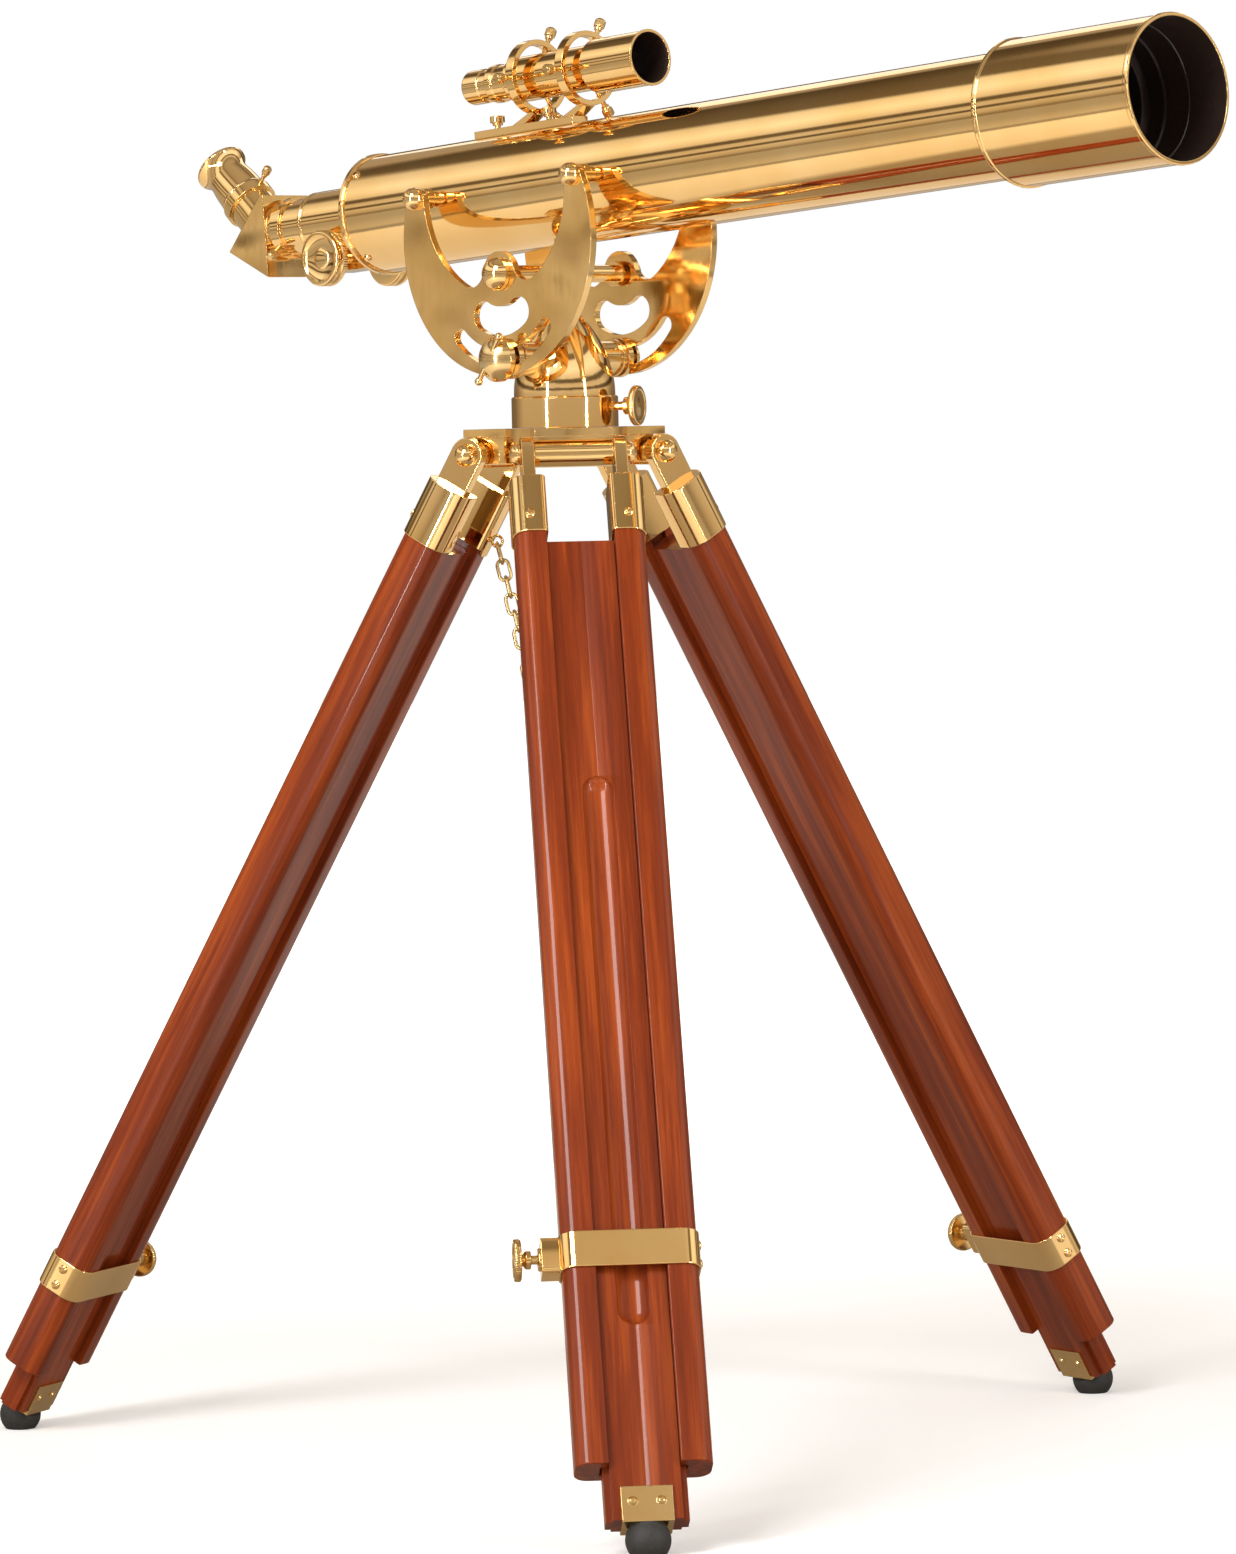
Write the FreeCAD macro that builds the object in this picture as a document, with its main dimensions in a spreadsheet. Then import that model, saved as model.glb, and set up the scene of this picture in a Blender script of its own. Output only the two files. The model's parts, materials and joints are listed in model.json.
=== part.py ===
import FreeCAD, Part
import math
import os
import Sketcher
from FreeCAD import Placement, Rotation, Vector

# Brass refracting telescope on a three-legged mahogany tripod, in millimetres.
# Z is up, the floor is Z = 0, and the origin is under the middle of the whole object.

DRIVING_SIZES = {
    # where the tripod's axis stands, and how the object is turned at rest
    "axis_x": -1.82,
    "axis_y": 93.89,
    "leg_turn": 4.8,
    "tube_azimuth": -46.8,
    "tube_altitude": 4.1,
    # tripod head
    "hinge_height": 755.0,
    "hinge_ring": 64.0,
    "head_top": 774.0,
    "head_radius": 46.0,
    "barrel_radius": 10.0,
    "barrel_length": 57.8,
    "hinge_pin_radius": 5.0,
    "spigot_radius": 12.0,
    # legs
    "leg_tilt": 29.8,
    "rail_outer": 48.0,
    "rail_width": 23.0,
    "rail_depth": 34.0,
    "rail_top": 30.0,
    "rail_end": 806.0,
    "rail_round": 11.0,
    "groove_width": 14.0,
    "groove_depth": 5.0,
    "board_width": 49.2,
    "board_depth": 22.0,
    "board_top": 80.0,
    "board_end": 846.0,
    "tongue_width": 13.4,
    "tongue_height": 4.5,
    "flute_radius": 13.0,
    "flute_depth": 6.5,
    "flute_top": 285.0,
    "flute_end": 690.0,
    "ferrule_wall": 1.6,
    "ferrule_end": 74.0,
    "strap_thick": 9.6,
    "strap_width": 26.0,
    "band_front": 646.0,
    "band_side": 724.0,
    "band_height": 27.0,
    "band_wall": 1.8,
    "lug_length": 13.0,
    "lug_depth": 20.0,
    "foot_width": 36.0,
    "foot_plate": 2.0,
    "foot_plate_height": 26.0,
    "rubber_radius": 16.0,
    "rubber_neck": 13.0,
    "rubber_middle": 857.0,
    # thumbscrews of the leg bands and of the azimuth hub
    "thumb_radius": 15.0,
    "thumb_thick": 5.0,
    "thumb_neck_radius": 6.5,
    "thumb_neck": 7.0,
    "thumb_shank_radius": 3.2,
    "screw_head_radius": 3.4,
    "screw_head_height": 1.8,
    # chain
    "chain_wire": 1.3,
    "chain_pitch": 13.6,
    "chain_half_width": 4.4,
    # pedestal and the two cross shafts
    "hub_radius": 40.0,
    "hub_top": 797.5,
    "bell_radius": 82.0,
    "pivot_height": 889.0,
    "ball_radius": 13.0,
    "neck_radius": 9.5,
    "shaft_radius": 6.5,
    "pin_radius": 4.0,
    "plate_inside": 59.0,
    "plate_thick": 5.6,
    "clamp_drop": 63.0,
    "sleeve_radius": 12.5,
    "sleeve_flange": 15.0,
    "bolt_radius": 5.4,
    # crescent plates, about the pivot
    "tube_lift": 65.0,
    "crescent_radius": 102.5,
    "crescent_lift": 26.5,
    "inner_radius": 77.0,
    "inner_lift": 62.0,
    "lobe_radius": 17.0,
    "lobe_fillet": 14.0,
    "slot_width": 13.0,
    "slot_half_angle": 47.0,
    "window_inner": 24.0,
    "window_outer": 46.0,
    "window_half_angle": 33.0,
    # main tube and what it carries, along the tube from over the pivot
    "tube_radius": 45.0,
    "tube_wall": 2.0,
    "tube_back": -190.0,
    "tube_front": 477.0,
    "rear_rim": 46.8,
    "cell_radius": 47.6,
    "dew_radius": 52.0,
    "dew_start": 480.0,
    "dew_front": 627.0,
    "lens_radius": 41.0,
    # focuser, diagonal and eyepiece
    "focuser_radius": 25.0,
    "focuser_end": -268.0,
    "draw_radius": 22.0,
    "draw_front": -140.0,
    "draw_end": -292.0,
    "collar_end": -303.0,
    "pinion_at": -228.0,
    "pinion_drop": 30.3,
    "pinion_radius": 4.0,
    "gear_radius": 5.3,
    "rack_height": 2.2,
    "knob_radius": 21.5,
    "knob_inside": 28.0,
    "knob_thick": 12.0,
    "nose_radius": 15.8,
    "prism_front": -308.0,
    "prism_half_width": 23.0,
    "socket_radius": 18.6,
    "socket_length": 28.0,
    "cup_radius": 21.0,
    # finder
    "finder_lift": 84.0,
    "finder_back": -83.0,
    "finder_front": 111.0,
    "ring_radius": 28.0,
    "ring_thick": 4.0,
    "ring_width": 8.0,
    "ring_rear": -13.0,
    "ring_front": 41.0,
    "running_gap": 0.05,
    "face_gap": 0.3,
}

doc = FreeCAD.newDocument("telescope")
dims = doc.addObject("Spreadsheet::Sheet", "dims")
for row, (alias, number) in enumerate(DRIVING_SIZES.items(), start=1):
    dims.set("A%d" % row, alias)
    dims.set("B%d" % row, str(number))
    dims.setAlias("B%d" % row, alias)
doc.recompute()

SUB_PARTS = []
X_AXIS = Vector(1, 0, 0)
Y_AXIS = Vector(0, 1, 0)
Z_AXIS = Vector(0, 0, 1)
TURN = {
    "Z": Rotation(),
    "X": Rotation(Y_AXIS, 90),
    "Y": Rotation(X_AXIS, -90),
    "-X": Rotation(Y_AXIS, -90),
    "-Y": Rotation(X_AXIS, 90),
    "-Z": Rotation(X_AXIS, 180),
}


def value(expression):
    """The number that an expression over the sheet comes to."""
    if isinstance(expression, (int, float)):
        return float(expression)
    return float(dims.evalExpression(expression))


def bind(item, **expressions):
    """Sets each property of an object from an expression over the sheet."""
    for name, expression in expressions.items():
        if isinstance(expression, (int, float)):
            setattr(item, name, expression)
        else:
            item.setExpression(name, expression)
    return item


def place(item, at=(0, 0, 0), axis="Z"):
    turn = TURN[axis] if isinstance(axis, str) else axis
    item.Placement = Placement(Vector(*(value(number) for number in at)), turn)
    return item


def cylinder(radius, height, at=(0, 0, 0), axis="Z", sweep=360):
    item = doc.addObject("Part::Cylinder", "Cylinder")
    bind(item, Radius=radius, Height=height, Angle=sweep)
    return place(item, at, axis)


def cone(radius, top_radius, height, at=(0, 0, 0), axis="Z"):
    item = doc.addObject("Part::Cone", "Cone")
    bind(item, Radius1=radius, Radius2=top_radius, Height=height)
    return place(item, at, axis)


def box(length, width, height, at=(0, 0, 0)):
    """A box centred on X and Y, standing on its lowest face."""
    item = doc.addObject("Part::Box", "Box")
    bind(item, Length=length, Width=width, Height=height)
    corner = (value(at[0]) - value(length) / 2, value(at[1]) - value(width) / 2, at[2])
    return place(item, corner)


def sphere(radius, at=(0, 0, 0)):
    item = doc.addObject("Part::Sphere", "Sphere")
    bind(item, Radius=radius)
    return place(item, at)


def torus(radius, wire, at=(0, 0, 0), axis="Z"):
    item = doc.addObject("Part::Torus", "Torus")
    bind(item, Radius1=radius, Radius2=wire)
    return place(item, at, axis)


def fuse(*shapes):
    item = doc.addObject("Part::MultiFuse", "Fuse")
    item.Shapes = list(shapes)
    item.Refine = True
    return item


def common(first, second):
    item = doc.addObject("Part::Common", "Common")
    item.Base, item.Tool = first, second
    return item


def cut(base, *tools):
    item = doc.addObject("Part::Cut", "Cut")
    item.Base = base
    item.Tool = tools[0] if len(tools) == 1 else fuse(*tools)
    return item


def group(*shapes):
    item = doc.addObject("Part::Compound", "Group")
    item.Links = list(shapes)
    return item


def rounded(base, radius, chosen):
    """Fillets the edges of base for which chosen(edge) is true."""
    doc.recompute()
    item = doc.addObject("Part::Fillet", "Rounded")
    item.Base = base
    size = value(radius)
    item.Edges = [
        (number, size, size)
        for number, edge in enumerate(base.Shape.Edges, start=1)
        if chosen(edge)
    ]
    return item


def sub_part(label, item, frame=None):
    """Names a finished sub-part and moves it from its own frame into place."""
    item.Label = label
    if frame is not None:
        item.Placement = frame.multiply(item.Placement)
    SUB_PARTS.append(item)
    return item


def origin_plane(body, role):
    for feature in body.Origin.OriginFeatures:
        if feature.Role == role:
            return feature
    raise ValueError(role)


def draw_outline(sketch, corners):
    """A closed outline through the corners, held by constraints on the sheet's sizes.

    A corner is (across, up), or (across, up, radius, side) where an arc of that radius
    leads to it, bulging to the left of the way there when side is 1 and to the right when -1.
    """
    points = [Vector(value(corner[0]), value(corner[1]), 0) for corner in corners]
    count = len(points)
    start_ends = []
    for index in range(count):
        start = points[index]
        end = points[(index + 1) % count]
        arc = corners[(index + 1) % count][2:]
        if arc:
            chord = end - start
            radius = value(arc[0])
            rise = radius - math.sqrt(radius ** 2 - (chord.Length / 2) ** 2)
            left = Vector(-chord.y, chord.x, 0).normalize()
            middle = (start + end) * 0.5 + left * (arc[1] * rise)
            edge = sketch.addGeometry(Part.Arc(start, middle, end))
        else:
            edge = sketch.addGeometry(Part.LineSegment(start, end))
        forward = sketch.getPoint(edge, 1).distanceToPoint(start) < 1e-6
        start_ends.append((edge, 1 if forward else 2, 2 if forward else 1))
    for index in range(count):
        edge, start_at, _ = start_ends[index]
        before, _, before_end = start_ends[index - 1]
        sketch.addConstraint(Sketcher.Constraint("Coincident", before, before_end, edge, start_at))
        for kind, axis, expression in (
            ("DistanceX", -2, corners[index][0]),
            ("DistanceY", -1, corners[index][1]),
        ):
            if abs(value(expression)) < 1e-9:
                rule = Sketcher.Constraint("PointOnObject", edge, start_at, axis)
                sketch.addConstraint(rule)
                continue
            rule = Sketcher.Constraint(kind, -1, 1, edge, start_at, value(expression))
            number = sketch.addConstraint(rule)
            if isinstance(expression, str):
                sketch.setExpression("Constraints[%d]" % number, expression)
        arc = corners[(index + 1) % count][2:]
        if arc:
            rule = Sketcher.Constraint("Radius", edge, value(arc[0]))
            number = sketch.addConstraint(rule)
            if isinstance(arc[0], str):
                sketch.setExpression("Constraints[%d]" % number, arc[0])


def new_sketch(name, corners):
    body = doc.addObject("PartDesign::Body", name)
    sketch = body.newObject("Sketcher::SketchObject", "Outline")
    sketch.AttachmentSupport = [(origin_plane(body, "XZ_Plane"), "")]
    sketch.MapMode = "FlatFace"
    draw_outline(sketch, corners)
    return body, sketch


def turned(corners):
    """A body turned about Z from an outline of (radius, height) corners."""
    body, sketch = new_sketch("Turned", corners)
    feature = body.newObject("PartDesign::Revolution", "Revolution")
    feature.Profile = sketch
    feature.ReferenceAxis = (sketch, ["V_Axis"])
    feature.Angle = 360
    return body


def plated(corners, thickness):
    """A plate of an outline of (x, z) corners, as thick along Y to both sides."""
    body, sketch = new_sketch("Plated", corners)
    feature = body.newObject("PartDesign::Pad", "Pad")
    feature.Profile = sketch
    bind(feature, Length=thickness)
    feature.Midplane = True
    return body


def turned_at(corners, at=(0, 0, 0), axis="Z"):
    return place(turned(corners), at, axis)


# Frames -----------------------------------------------------------------------------------------

AXIS = Placement(Vector(value("dims.axis_x"), value("dims.axis_y"), 0), Rotation())
PEDESTAL = AXIS.multiply(Placement(Vector(), Rotation(Z_AXIS, value("dims.tube_azimuth"))))
PIVOT = PEDESTAL.multiply(Placement(Vector(0, 0, value("dims.pivot_height")), Rotation()))
TUBE = PIVOT.multiply(Placement(Vector(), Rotation(Y_AXIS, -value("dims.tube_altitude"))))
LEGS = {"front": 0, "right": 120, "left": 240}


def leg_frame(turn):
    """A leg's own frame: origin at its hinge, X along the hinge pin, Z up along the leg, Y inward."""
    about = Rotation(Z_AXIS, value("dims.leg_turn") + turn)
    hinge = Vector(0, -value("dims.hinge_ring"), value("dims.hinge_height"))
    lean = Placement(hinge, Rotation(X_AXIS, -value("dims.leg_tilt")))
    return AXIS.multiply(Placement(Vector(), about)).multiply(lean)


# Fasteners --------------------------------------------------------------------------------------


def cap_radius(radius, rise):
    """Radius of the sphere that a cap this wide and this high is cut from."""
    return (value(radius) ** 2 + value(rise) ** 2) / (2 * value(rise))


def dome_nut(radius, height, at, axis):
    """A domed cap: a short rim and a rounded face, standing along its axis."""
    corners = [
        (0, 0),
        (radius, 0),
        (radius, "%s * 0.3" % height),
        (0, height, cap_radius(radius, "%s * 0.7" % height), -1),
    ]
    return turned_at(corners, at, axis)


def round_screw(at, axis):
    """A round-headed screw as it shows: its head, on a shank that the piece under it holds."""
    head = cone(
        "dims.screw_head_radius", "dims.screw_head_radius * 0.55", "dims.screw_head_height", at, axis
    )
    return head


def thumbscrew(shank_length, at, axis):
    """A thumbscrew pointing its disc along its axis: shank, waisted neck and flat disc."""
    shank = "dims.thumb_shank_radius"
    neck_end = "%s + dims.thumb_neck" % shank_length
    disc_end = "%s + dims.thumb_thick" % neck_end
    corners = [
        (0, 0),
        (shank, 0),
        (shank, shank_length),
        ("dims.thumb_neck_radius", shank_length),
        ("dims.thumb_neck_radius", "%s - 2" % neck_end),
        (shank, neck_end),
        ("dims.thumb_radius - 0.8", neck_end),
        ("dims.thumb_radius", "%s + 0.8" % neck_end),
        ("dims.thumb_radius", "%s - 0.8" % disc_end),
        ("dims.thumb_radius - 0.8", disc_end),
        (0, disc_end),
    ]
    return turned_at(corners, at, axis)


def knurled_screw(head_radius, head_length, shank_radius, shank_length, at, axis):
    """A small adjusting screw: a thin shank and a drum head with a step."""
    corners = [
        (0, 0),
        (shank_radius, 0),
        (shank_radius, shank_length),
        (head_radius * 0.7, shank_length),
        (head_radius * 0.7, shank_length + head_length * 0.25),
        (head_radius, shank_length + head_length * 0.3),
        (head_radius, shank_length + head_length * 0.92),
        (head_radius * 0.9, shank_length + head_length),
        (0, shank_length + head_length),
    ]
    return turned_at(corners, at, axis)


# Tripod head ------------------------------------------------------------------------------------


def tripod_head():
    plate_under = "dims.head_top - 6"
    pieces = [cylinder("dims.head_radius", 26, at=(0, 0, "dims.head_top - 26"))]
    for turn in LEGS.values():
        about = Rotation(Z_AXIS, turn)
        reach = value("dims.hinge_ring")
        plate = box("dims.barrel_length", "dims.hinge_ring + 7", 6, at=(0, 0, plate_under))
        web = box("dims.barrel_length - 10", 44, 20, at=(0, 0, "dims.hinge_height - 7"))
        barrel = cylinder(
            "dims.barrel_radius",
            "dims.barrel_length",
            at=("-dims.barrel_length / 2", 0, "dims.hinge_height"),
            axis="X",
        )
        moves = ((plate, -(reach + 7) / 2), (web, -reach + 22), (barrel, -reach))
        for item, out in moves:
            shift = Placement(Vector(0, out, 0), Rotation())
            spin = Placement(Vector(), about)
            item.Placement = spin.multiply(shift).multiply(item.Placement)
            pieces.append(item)
    bores = [cylinder("dims.spigot_radius + dims.running_gap", 40, at=(0, 0, "dims.head_top - 18"))]
    for turn in LEGS.values():
        bore = cylinder("dims.hinge_pin_radius + dims.running_gap", 120, at=(-60, 0, 0), axis="X")
        out = Vector(0, -value("dims.hinge_ring"), value("dims.hinge_height"))
        spin = Placement(Vector(), Rotation(Z_AXIS, turn))
        bore.Placement = spin.multiply(Placement(out, Rotation())).multiply(bore.Placement)
        bores.append(bore)
    frame = AXIS.multiply(Placement(Vector(), Rotation(Z_AXIS, value("dims.leg_turn"))))
    sub_part("tripod_head", cut(fuse(*pieces), *bores), frame)


def hinge_bolts():
    """The three hinge pins, each with a domed nut on both ends."""
    bolts = []
    strap_outer = "(dims.rail_outer - dims.rail_width / 2 + dims.strap_thick / 2 - 2)"
    seat = value(strap_outer) + value("dims.face_gap")
    for turn in LEGS.values():
        pin = cylinder("dims.hinge_pin_radius", 2 * seat, at=(-seat, 0, 0), axis="X")
        right = dome_nut("8.5", "8", (seat, 0, 0), "X")
        left = dome_nut("8.5", "8", (-seat, 0, 0), "-X")
        bolt = fuse(pin, right, left)
        bolt.Placement = leg_frame(turn)
        bolts.append(bolt)
    sub_part("hinge_bolts", group(*bolts))


# Legs -------------------------------------------------------------------------------------------

RAIL_CENTRE = "(dims.rail_outer - dims.rail_width / 2)"


def rail_solid(extra, top, length):
    """One rail's rounded section at X > 0, grown by extra on every side, hanging from top."""
    bar = box(
        "dims.rail_width + 2 * %s" % extra,
        "dims.rail_depth + 2 * %s" % extra,
        length,
        at=(RAIL_CENTRE, 0, "-(%s) - (%s)" % (top, length)),
    )
    outer = value("dims.rail_outer") + value(extra)

    def outer_edge(edge):
        upright = abs(edge.BoundBox.ZLength) > 1 and edge.BoundBox.XLength < 0.01
        return upright and edge.BoundBox.XMin > outer - 0.1

    return rounded(bar, "dims.rail_round + %s" % extra, outer_edge)


def mirrored(item):
    other = doc.addObject("Part::Mirroring", "Mirror")
    other.Source = item
    other.Normal = X_AXIS
    return other


def band_middle(name):
    """How far down a leg its clamp band is: the front one stands higher than the other two."""
    return "dims.band_front" if name == "front" else "dims.band_side"


def rail_pair(knob_side, band_at):
    """Two rails, each with a groove down its inner face; one is bored for the band's screw."""
    long_bar = rail_solid("0", "dims.rail_top", "dims.rail_end - dims.rail_top")
    groove = box(
        "2 * dims.groove_depth",
        "dims.groove_width",
        900,
        at=("dims.rail_outer - dims.rail_width", 0, -900),
    )
    plain = cut(long_bar, groove)
    bore = cylinder(
        "dims.thumb_shank_radius + dims.running_gap",
        60,
        at=(10, 0, "-%s" % band_at),
        axis="X",
    )
    bored = cut(plain, bore)
    if knob_side > 0:
        return group(bored, mirrored(plain))
    return group(plain, mirrored(bored))


def ferrule_pair():
    """Brass caps over the rails' tops, each with its strap to the hinge pin and two screws."""
    wall = "dims.ferrule_wall"
    shell = rail_solid(wall, "dims.rail_top - 3", "dims.ferrule_end - dims.rail_top + 3")
    hollow = rail_solid("0", "dims.rail_top", "dims.ferrule_end")
    strap = box(
        "dims.strap_thick",
        "dims.strap_width",
        "dims.rail_top",
        at=("%s - 2" % RAIL_CENTRE, 0, "-dims.rail_top + 1"),
    )
    eye_at = "%s - 2 - dims.strap_thick / 2" % RAIL_CENTRE
    eye = cylinder("dims.strap_width / 2", "dims.strap_thick", at=(eye_at, 0, 0), axis="X")
    bore = cylinder("dims.hinge_pin_radius + dims.running_gap", 60, at=(10, 0, 0), axis="X")
    strap_top = box(60, 60, 30, at=(30, 0, 1))
    body = fuse(cut(shell, hollow), cut(strap, strap_top), eye)
    cap = cut(body, bore)
    screw_y = "-dims.rail_depth / 2 - dims.ferrule_wall"
    screw = round_screw((RAIL_CENTRE, screw_y, "-dims.ferrule_end + 14"), "-Y")
    return group(cap, screw, mirrored(cap), mirrored(screw))


def eye_plate(side):
    """A small screw-eye on a plate on a ferrule's inner face; the chain hangs from the left one."""
    face = "dims.rail_depth / 2 + dims.ferrule_wall"
    x_at = value(RAIL_CENTRE) * side - 6 * side
    plate = box(10, 1.6, 16, at=(x_at, value(face) + 0.8, -70))
    ring = torus(4.2, 1.1, at=(x_at, value(face) + 1.6 + 4.6, -62), axis="X")
    return fuse(plate, ring)


def band(knob_side, band_at):
    """The clamp band round both rails, with the lug that its thumbscrew goes through."""
    wall = value("dims.band_wall")
    half_width = value("dims.rail_outer")
    half_depth = value("dims.rail_depth") / 2
    low = "-%s - dims.band_height / 2" % band_at

    def upright(edge):
        return edge.BoundBox.ZLength > 1

    outside = box(
        "2 * (dims.rail_outer + dims.band_wall)",
        "dims.rail_depth + 2 * dims.band_wall",
        "dims.band_height",
        at=(0, 0, low),
    )
    inside = box("2 * dims.rail_outer", "dims.rail_depth", 60, at=(0, 0, "-%s - 30" % band_at))
    hoop = cut(
        rounded(outside, "dims.rail_round + dims.band_wall", upright),
        rounded(inside, "dims.rail_round", upright),
    )
    lug = box(
        "dims.lug_length",
        "dims.lug_depth",
        "dims.band_height",
        at=(knob_side * (half_width + wall / 2 + value("dims.lug_length") / 2), 0, low),
    )
    bore = cylinder(
        "dims.thumb_shank_radius + dims.running_gap",
        200,
        at=(knob_side * 20, 0, "-%s" % band_at),
        axis="X" if knob_side > 0 else "-X",
    )
    outline = rounded(lug, 2.0, lambda edge: edge.BoundBox.ZLength > 1)
    bored = cut(fuse(hoop, outline), bore)
    screws = [
        round_screw(
            (-knob_side * (half_width + wall), 0, "-%s + %d" % (band_at, offset)),
            "-X" if knob_side > 0 else "X",
        )
        for offset in (-7, 7)
    ]
    return group(bored, *screws)


def board():
    """The sliding inner leg: a fluted board with a tongue down each edge."""
    length = "dims.board_end - dims.board_top"
    plank = box("dims.board_width", "dims.board_depth", length, at=(0, 0, "-dims.board_end"))
    tongues = box(
        "dims.board_width + 2 * dims.tongue_height",
        "dims.tongue_width",
        length,
        at=(0, 0, "-dims.board_end"),
    )
    out = "-dims.board_depth / 2 - dims.flute_radius + dims.flute_depth"
    flute = cylinder(
        "dims.flute_radius",
        "dims.flute_end - dims.flute_top",
        at=(0, out, "-dims.flute_end"),
    )
    tip = sphere("dims.flute_radius", at=(0, out, "-dims.flute_top"))
    tail = sphere("dims.flute_radius", at=(0, out, "-dims.flute_end"))
    return cut(fuse(plank, tongues), flute, tip, tail)


def floor_cutter():
    """Everything under the floor, in a leg's own frame."""
    slab = box(400, 400, 200, at=(0, 0, 0))
    tilt = math.radians(value("dims.leg_tilt"))
    reach = value("dims.hinge_height") / math.cos(tilt)
    drop = Placement(Vector(0, 0, -reach), Rotation(X_AXIS, value("dims.leg_tilt")))
    under = Placement(Vector(-200, -200, -200), Rotation())
    slab.Placement = drop.multiply(under)
    return slab


def foot_bracket():
    """A brass channel over the board's end, with two screws on its outer and inner face."""
    depth = "dims.board_depth + 2 * dims.foot_plate"
    low = "-dims.board_end - dims.foot_plate"
    outside = box("dims.foot_width", depth, "dims.foot_plate_height", at=(0, 0, low))
    inside = box("dims.foot_width + 2", "dims.board_depth", 60, at=(0, 0, "-dims.board_end"))
    channel = cut(outside, inside)
    face = value("dims.board_depth") / 2 + value("dims.foot_plate")
    screws = [
        round_screw((across, side * face, "-dims.board_end + 13"), "Y" if side > 0 else "-Y")
        for across in (-10, 10)
        for side in (-1, 1)
    ]
    return group(channel, *screws)


def rubber_foot():
    """A rubber bulb on a short neck under the bracket, cut level with the floor."""
    neck_top = "-dims.board_end - dims.foot_plate"
    neck = cylinder("dims.rubber_neck", 9, at=(0, 0, neck_top), axis="-Z")
    bulb = sphere("dims.rubber_radius", at=(0, 0, "-dims.rubber_middle"))
    above = box(60, 60, 40, at=(0, 0, "-dims.rubber_middle + 7"))
    return cut(fuse(neck, cut(bulb, above)), floor_cutter())


def band_screw(knob_side, band_at):
    """The band's thumbscrew, from the board's edge out through rail and lug."""
    tip = value("dims.board_width") / 2 + value("dims.tongue_height") + 0.4
    lug_face = value("dims.rail_outer") + value("dims.band_wall") / 2 + value("dims.lug_length")
    shank = lug_face + 7 - tip
    axis = "X" if knob_side > 0 else "-X"
    return thumbscrew(str(shank), (knob_side * tip, 0, "-%s" % band_at), axis)


def legs():
    for name, turn in LEGS.items():
        frame = leg_frame(turn)
        knob_side = 1 if name == "right" else -1
        band_at = band_middle(name)
        sub_part("leg_%s_rails" % name, rail_pair(knob_side, band_at), frame)
        sub_part("leg_%s_ferrules" % name, group(ferrule_pair(), eye_plate(knob_side)), frame)
        sub_part("leg_%s_band" % name, band(knob_side, band_at), frame)
        sub_part("leg_%s_band_screw" % name, band_screw(knob_side, band_at), frame)
        sub_part("leg_%s_board" % name, board(), frame)
        sub_part("leg_%s_foot_bracket" % name, foot_bracket(), frame)
        sub_part("leg_%s_foot" % name, rubber_foot(), frame)


# Pedestal ---------------------------------------------------------------------------------------


def pedestal():
    """The turning column: hub, bell, neck and the ball that the upper shaft goes through."""
    bell_foot = "(dims.hub_radius - 2)"
    bell_base = "dims.hub_top + 1"
    bell_top_radius = "14"
    run = "(dims.bell_radius - %s + %s)" % (bell_foot, bell_top_radius)
    bell_top = "%s + sqrt(dims.bell_radius ^ 2 - %s ^ 2)" % (bell_base, run)
    corners = [
        (0, "dims.head_top - 16"),
        ("dims.spigot_radius", "dims.head_top - 16"),
        ("dims.spigot_radius", "dims.head_top + dims.face_gap"),
        ("dims.hub_radius", "dims.head_top + dims.face_gap"),
        ("dims.hub_radius", "dims.hub_top - 1"),
        ("dims.hub_radius - 1", "dims.hub_top"),
        (bell_foot, "dims.hub_top"),
        (bell_foot, bell_base),
        (bell_top_radius, bell_top, "dims.bell_radius", -1),
        ("dims.neck_radius", "dims.pivot_height - 15"),
        ("dims.neck_radius", "dims.pivot_height"),
        (0, "dims.pivot_height"),
    ]
    column = turned(corners)
    ball = sphere("dims.ball_radius", at=(0, 0, "dims.pivot_height"))
    shaft_bore = cylinder("dims.shaft_radius", 120, at=(0, -60, "dims.pivot_height"), axis="Y")
    clamp_at = "dims.pivot_height - dims.clamp_drop"
    sleeve_bore = cylinder("dims.sleeve_radius", 120, at=(0, -60, clamp_at), axis="Y")
    screw_bore = cylinder(
        "dims.thumb_shank_radius + dims.running_gap", 60, at=(20, 0, "dims.hub_top - 8"), axis="X"
    )
    screw_bore.Placement = azimuth_turn().multiply(screw_bore.Placement)
    sub_part(
        "pedestal", cut(fuse(column, ball), shaft_bore, sleeve_bore, screw_bore), PEDESTAL
    )


def azimuth_turn():
    """The azimuth clamp stands out of the hub between the front and right legs."""
    return Placement(Vector(), Rotation(Z_AXIS, 26))


def azimuth_clamp():
    shank = thumbscrew(str(value("dims.hub_radius") - 22 + 8), (22, 0, "dims.hub_top - 8"), "X")
    sub_part("azimuth_clamp", shank, PEDESTAL.multiply(azimuth_turn()))


def pivot_shaft():
    """The upper shaft, thinner where the crescents turn on it, with a domed nut on each end."""
    shoulder = value("dims.plate_inside") - value("dims.face_gap")
    nut_seat = value("dims.plate_inside") + value("dims.plate_thick") + value("dims.face_gap")
    pieces = [
        cylinder("dims.shaft_radius", 2 * shoulder, at=(0, -shoulder, 0), axis="Y"),
        cylinder("dims.pin_radius", 2 * nut_seat, at=(0, -nut_seat, 0), axis="Y"),
    ]
    for side, axis in ((-1, "-Y"), (1, "Y")):
        pieces.append(cylinder(9.5, 3, at=(0, side * (shoulder - 6), 0), axis=axis))
        pieces.append(dome_nut("12.5", "12", (0, side * nut_seat, 0), axis))
    sub_part("pivot_shaft", fuse(*pieces), PIVOT)


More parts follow.
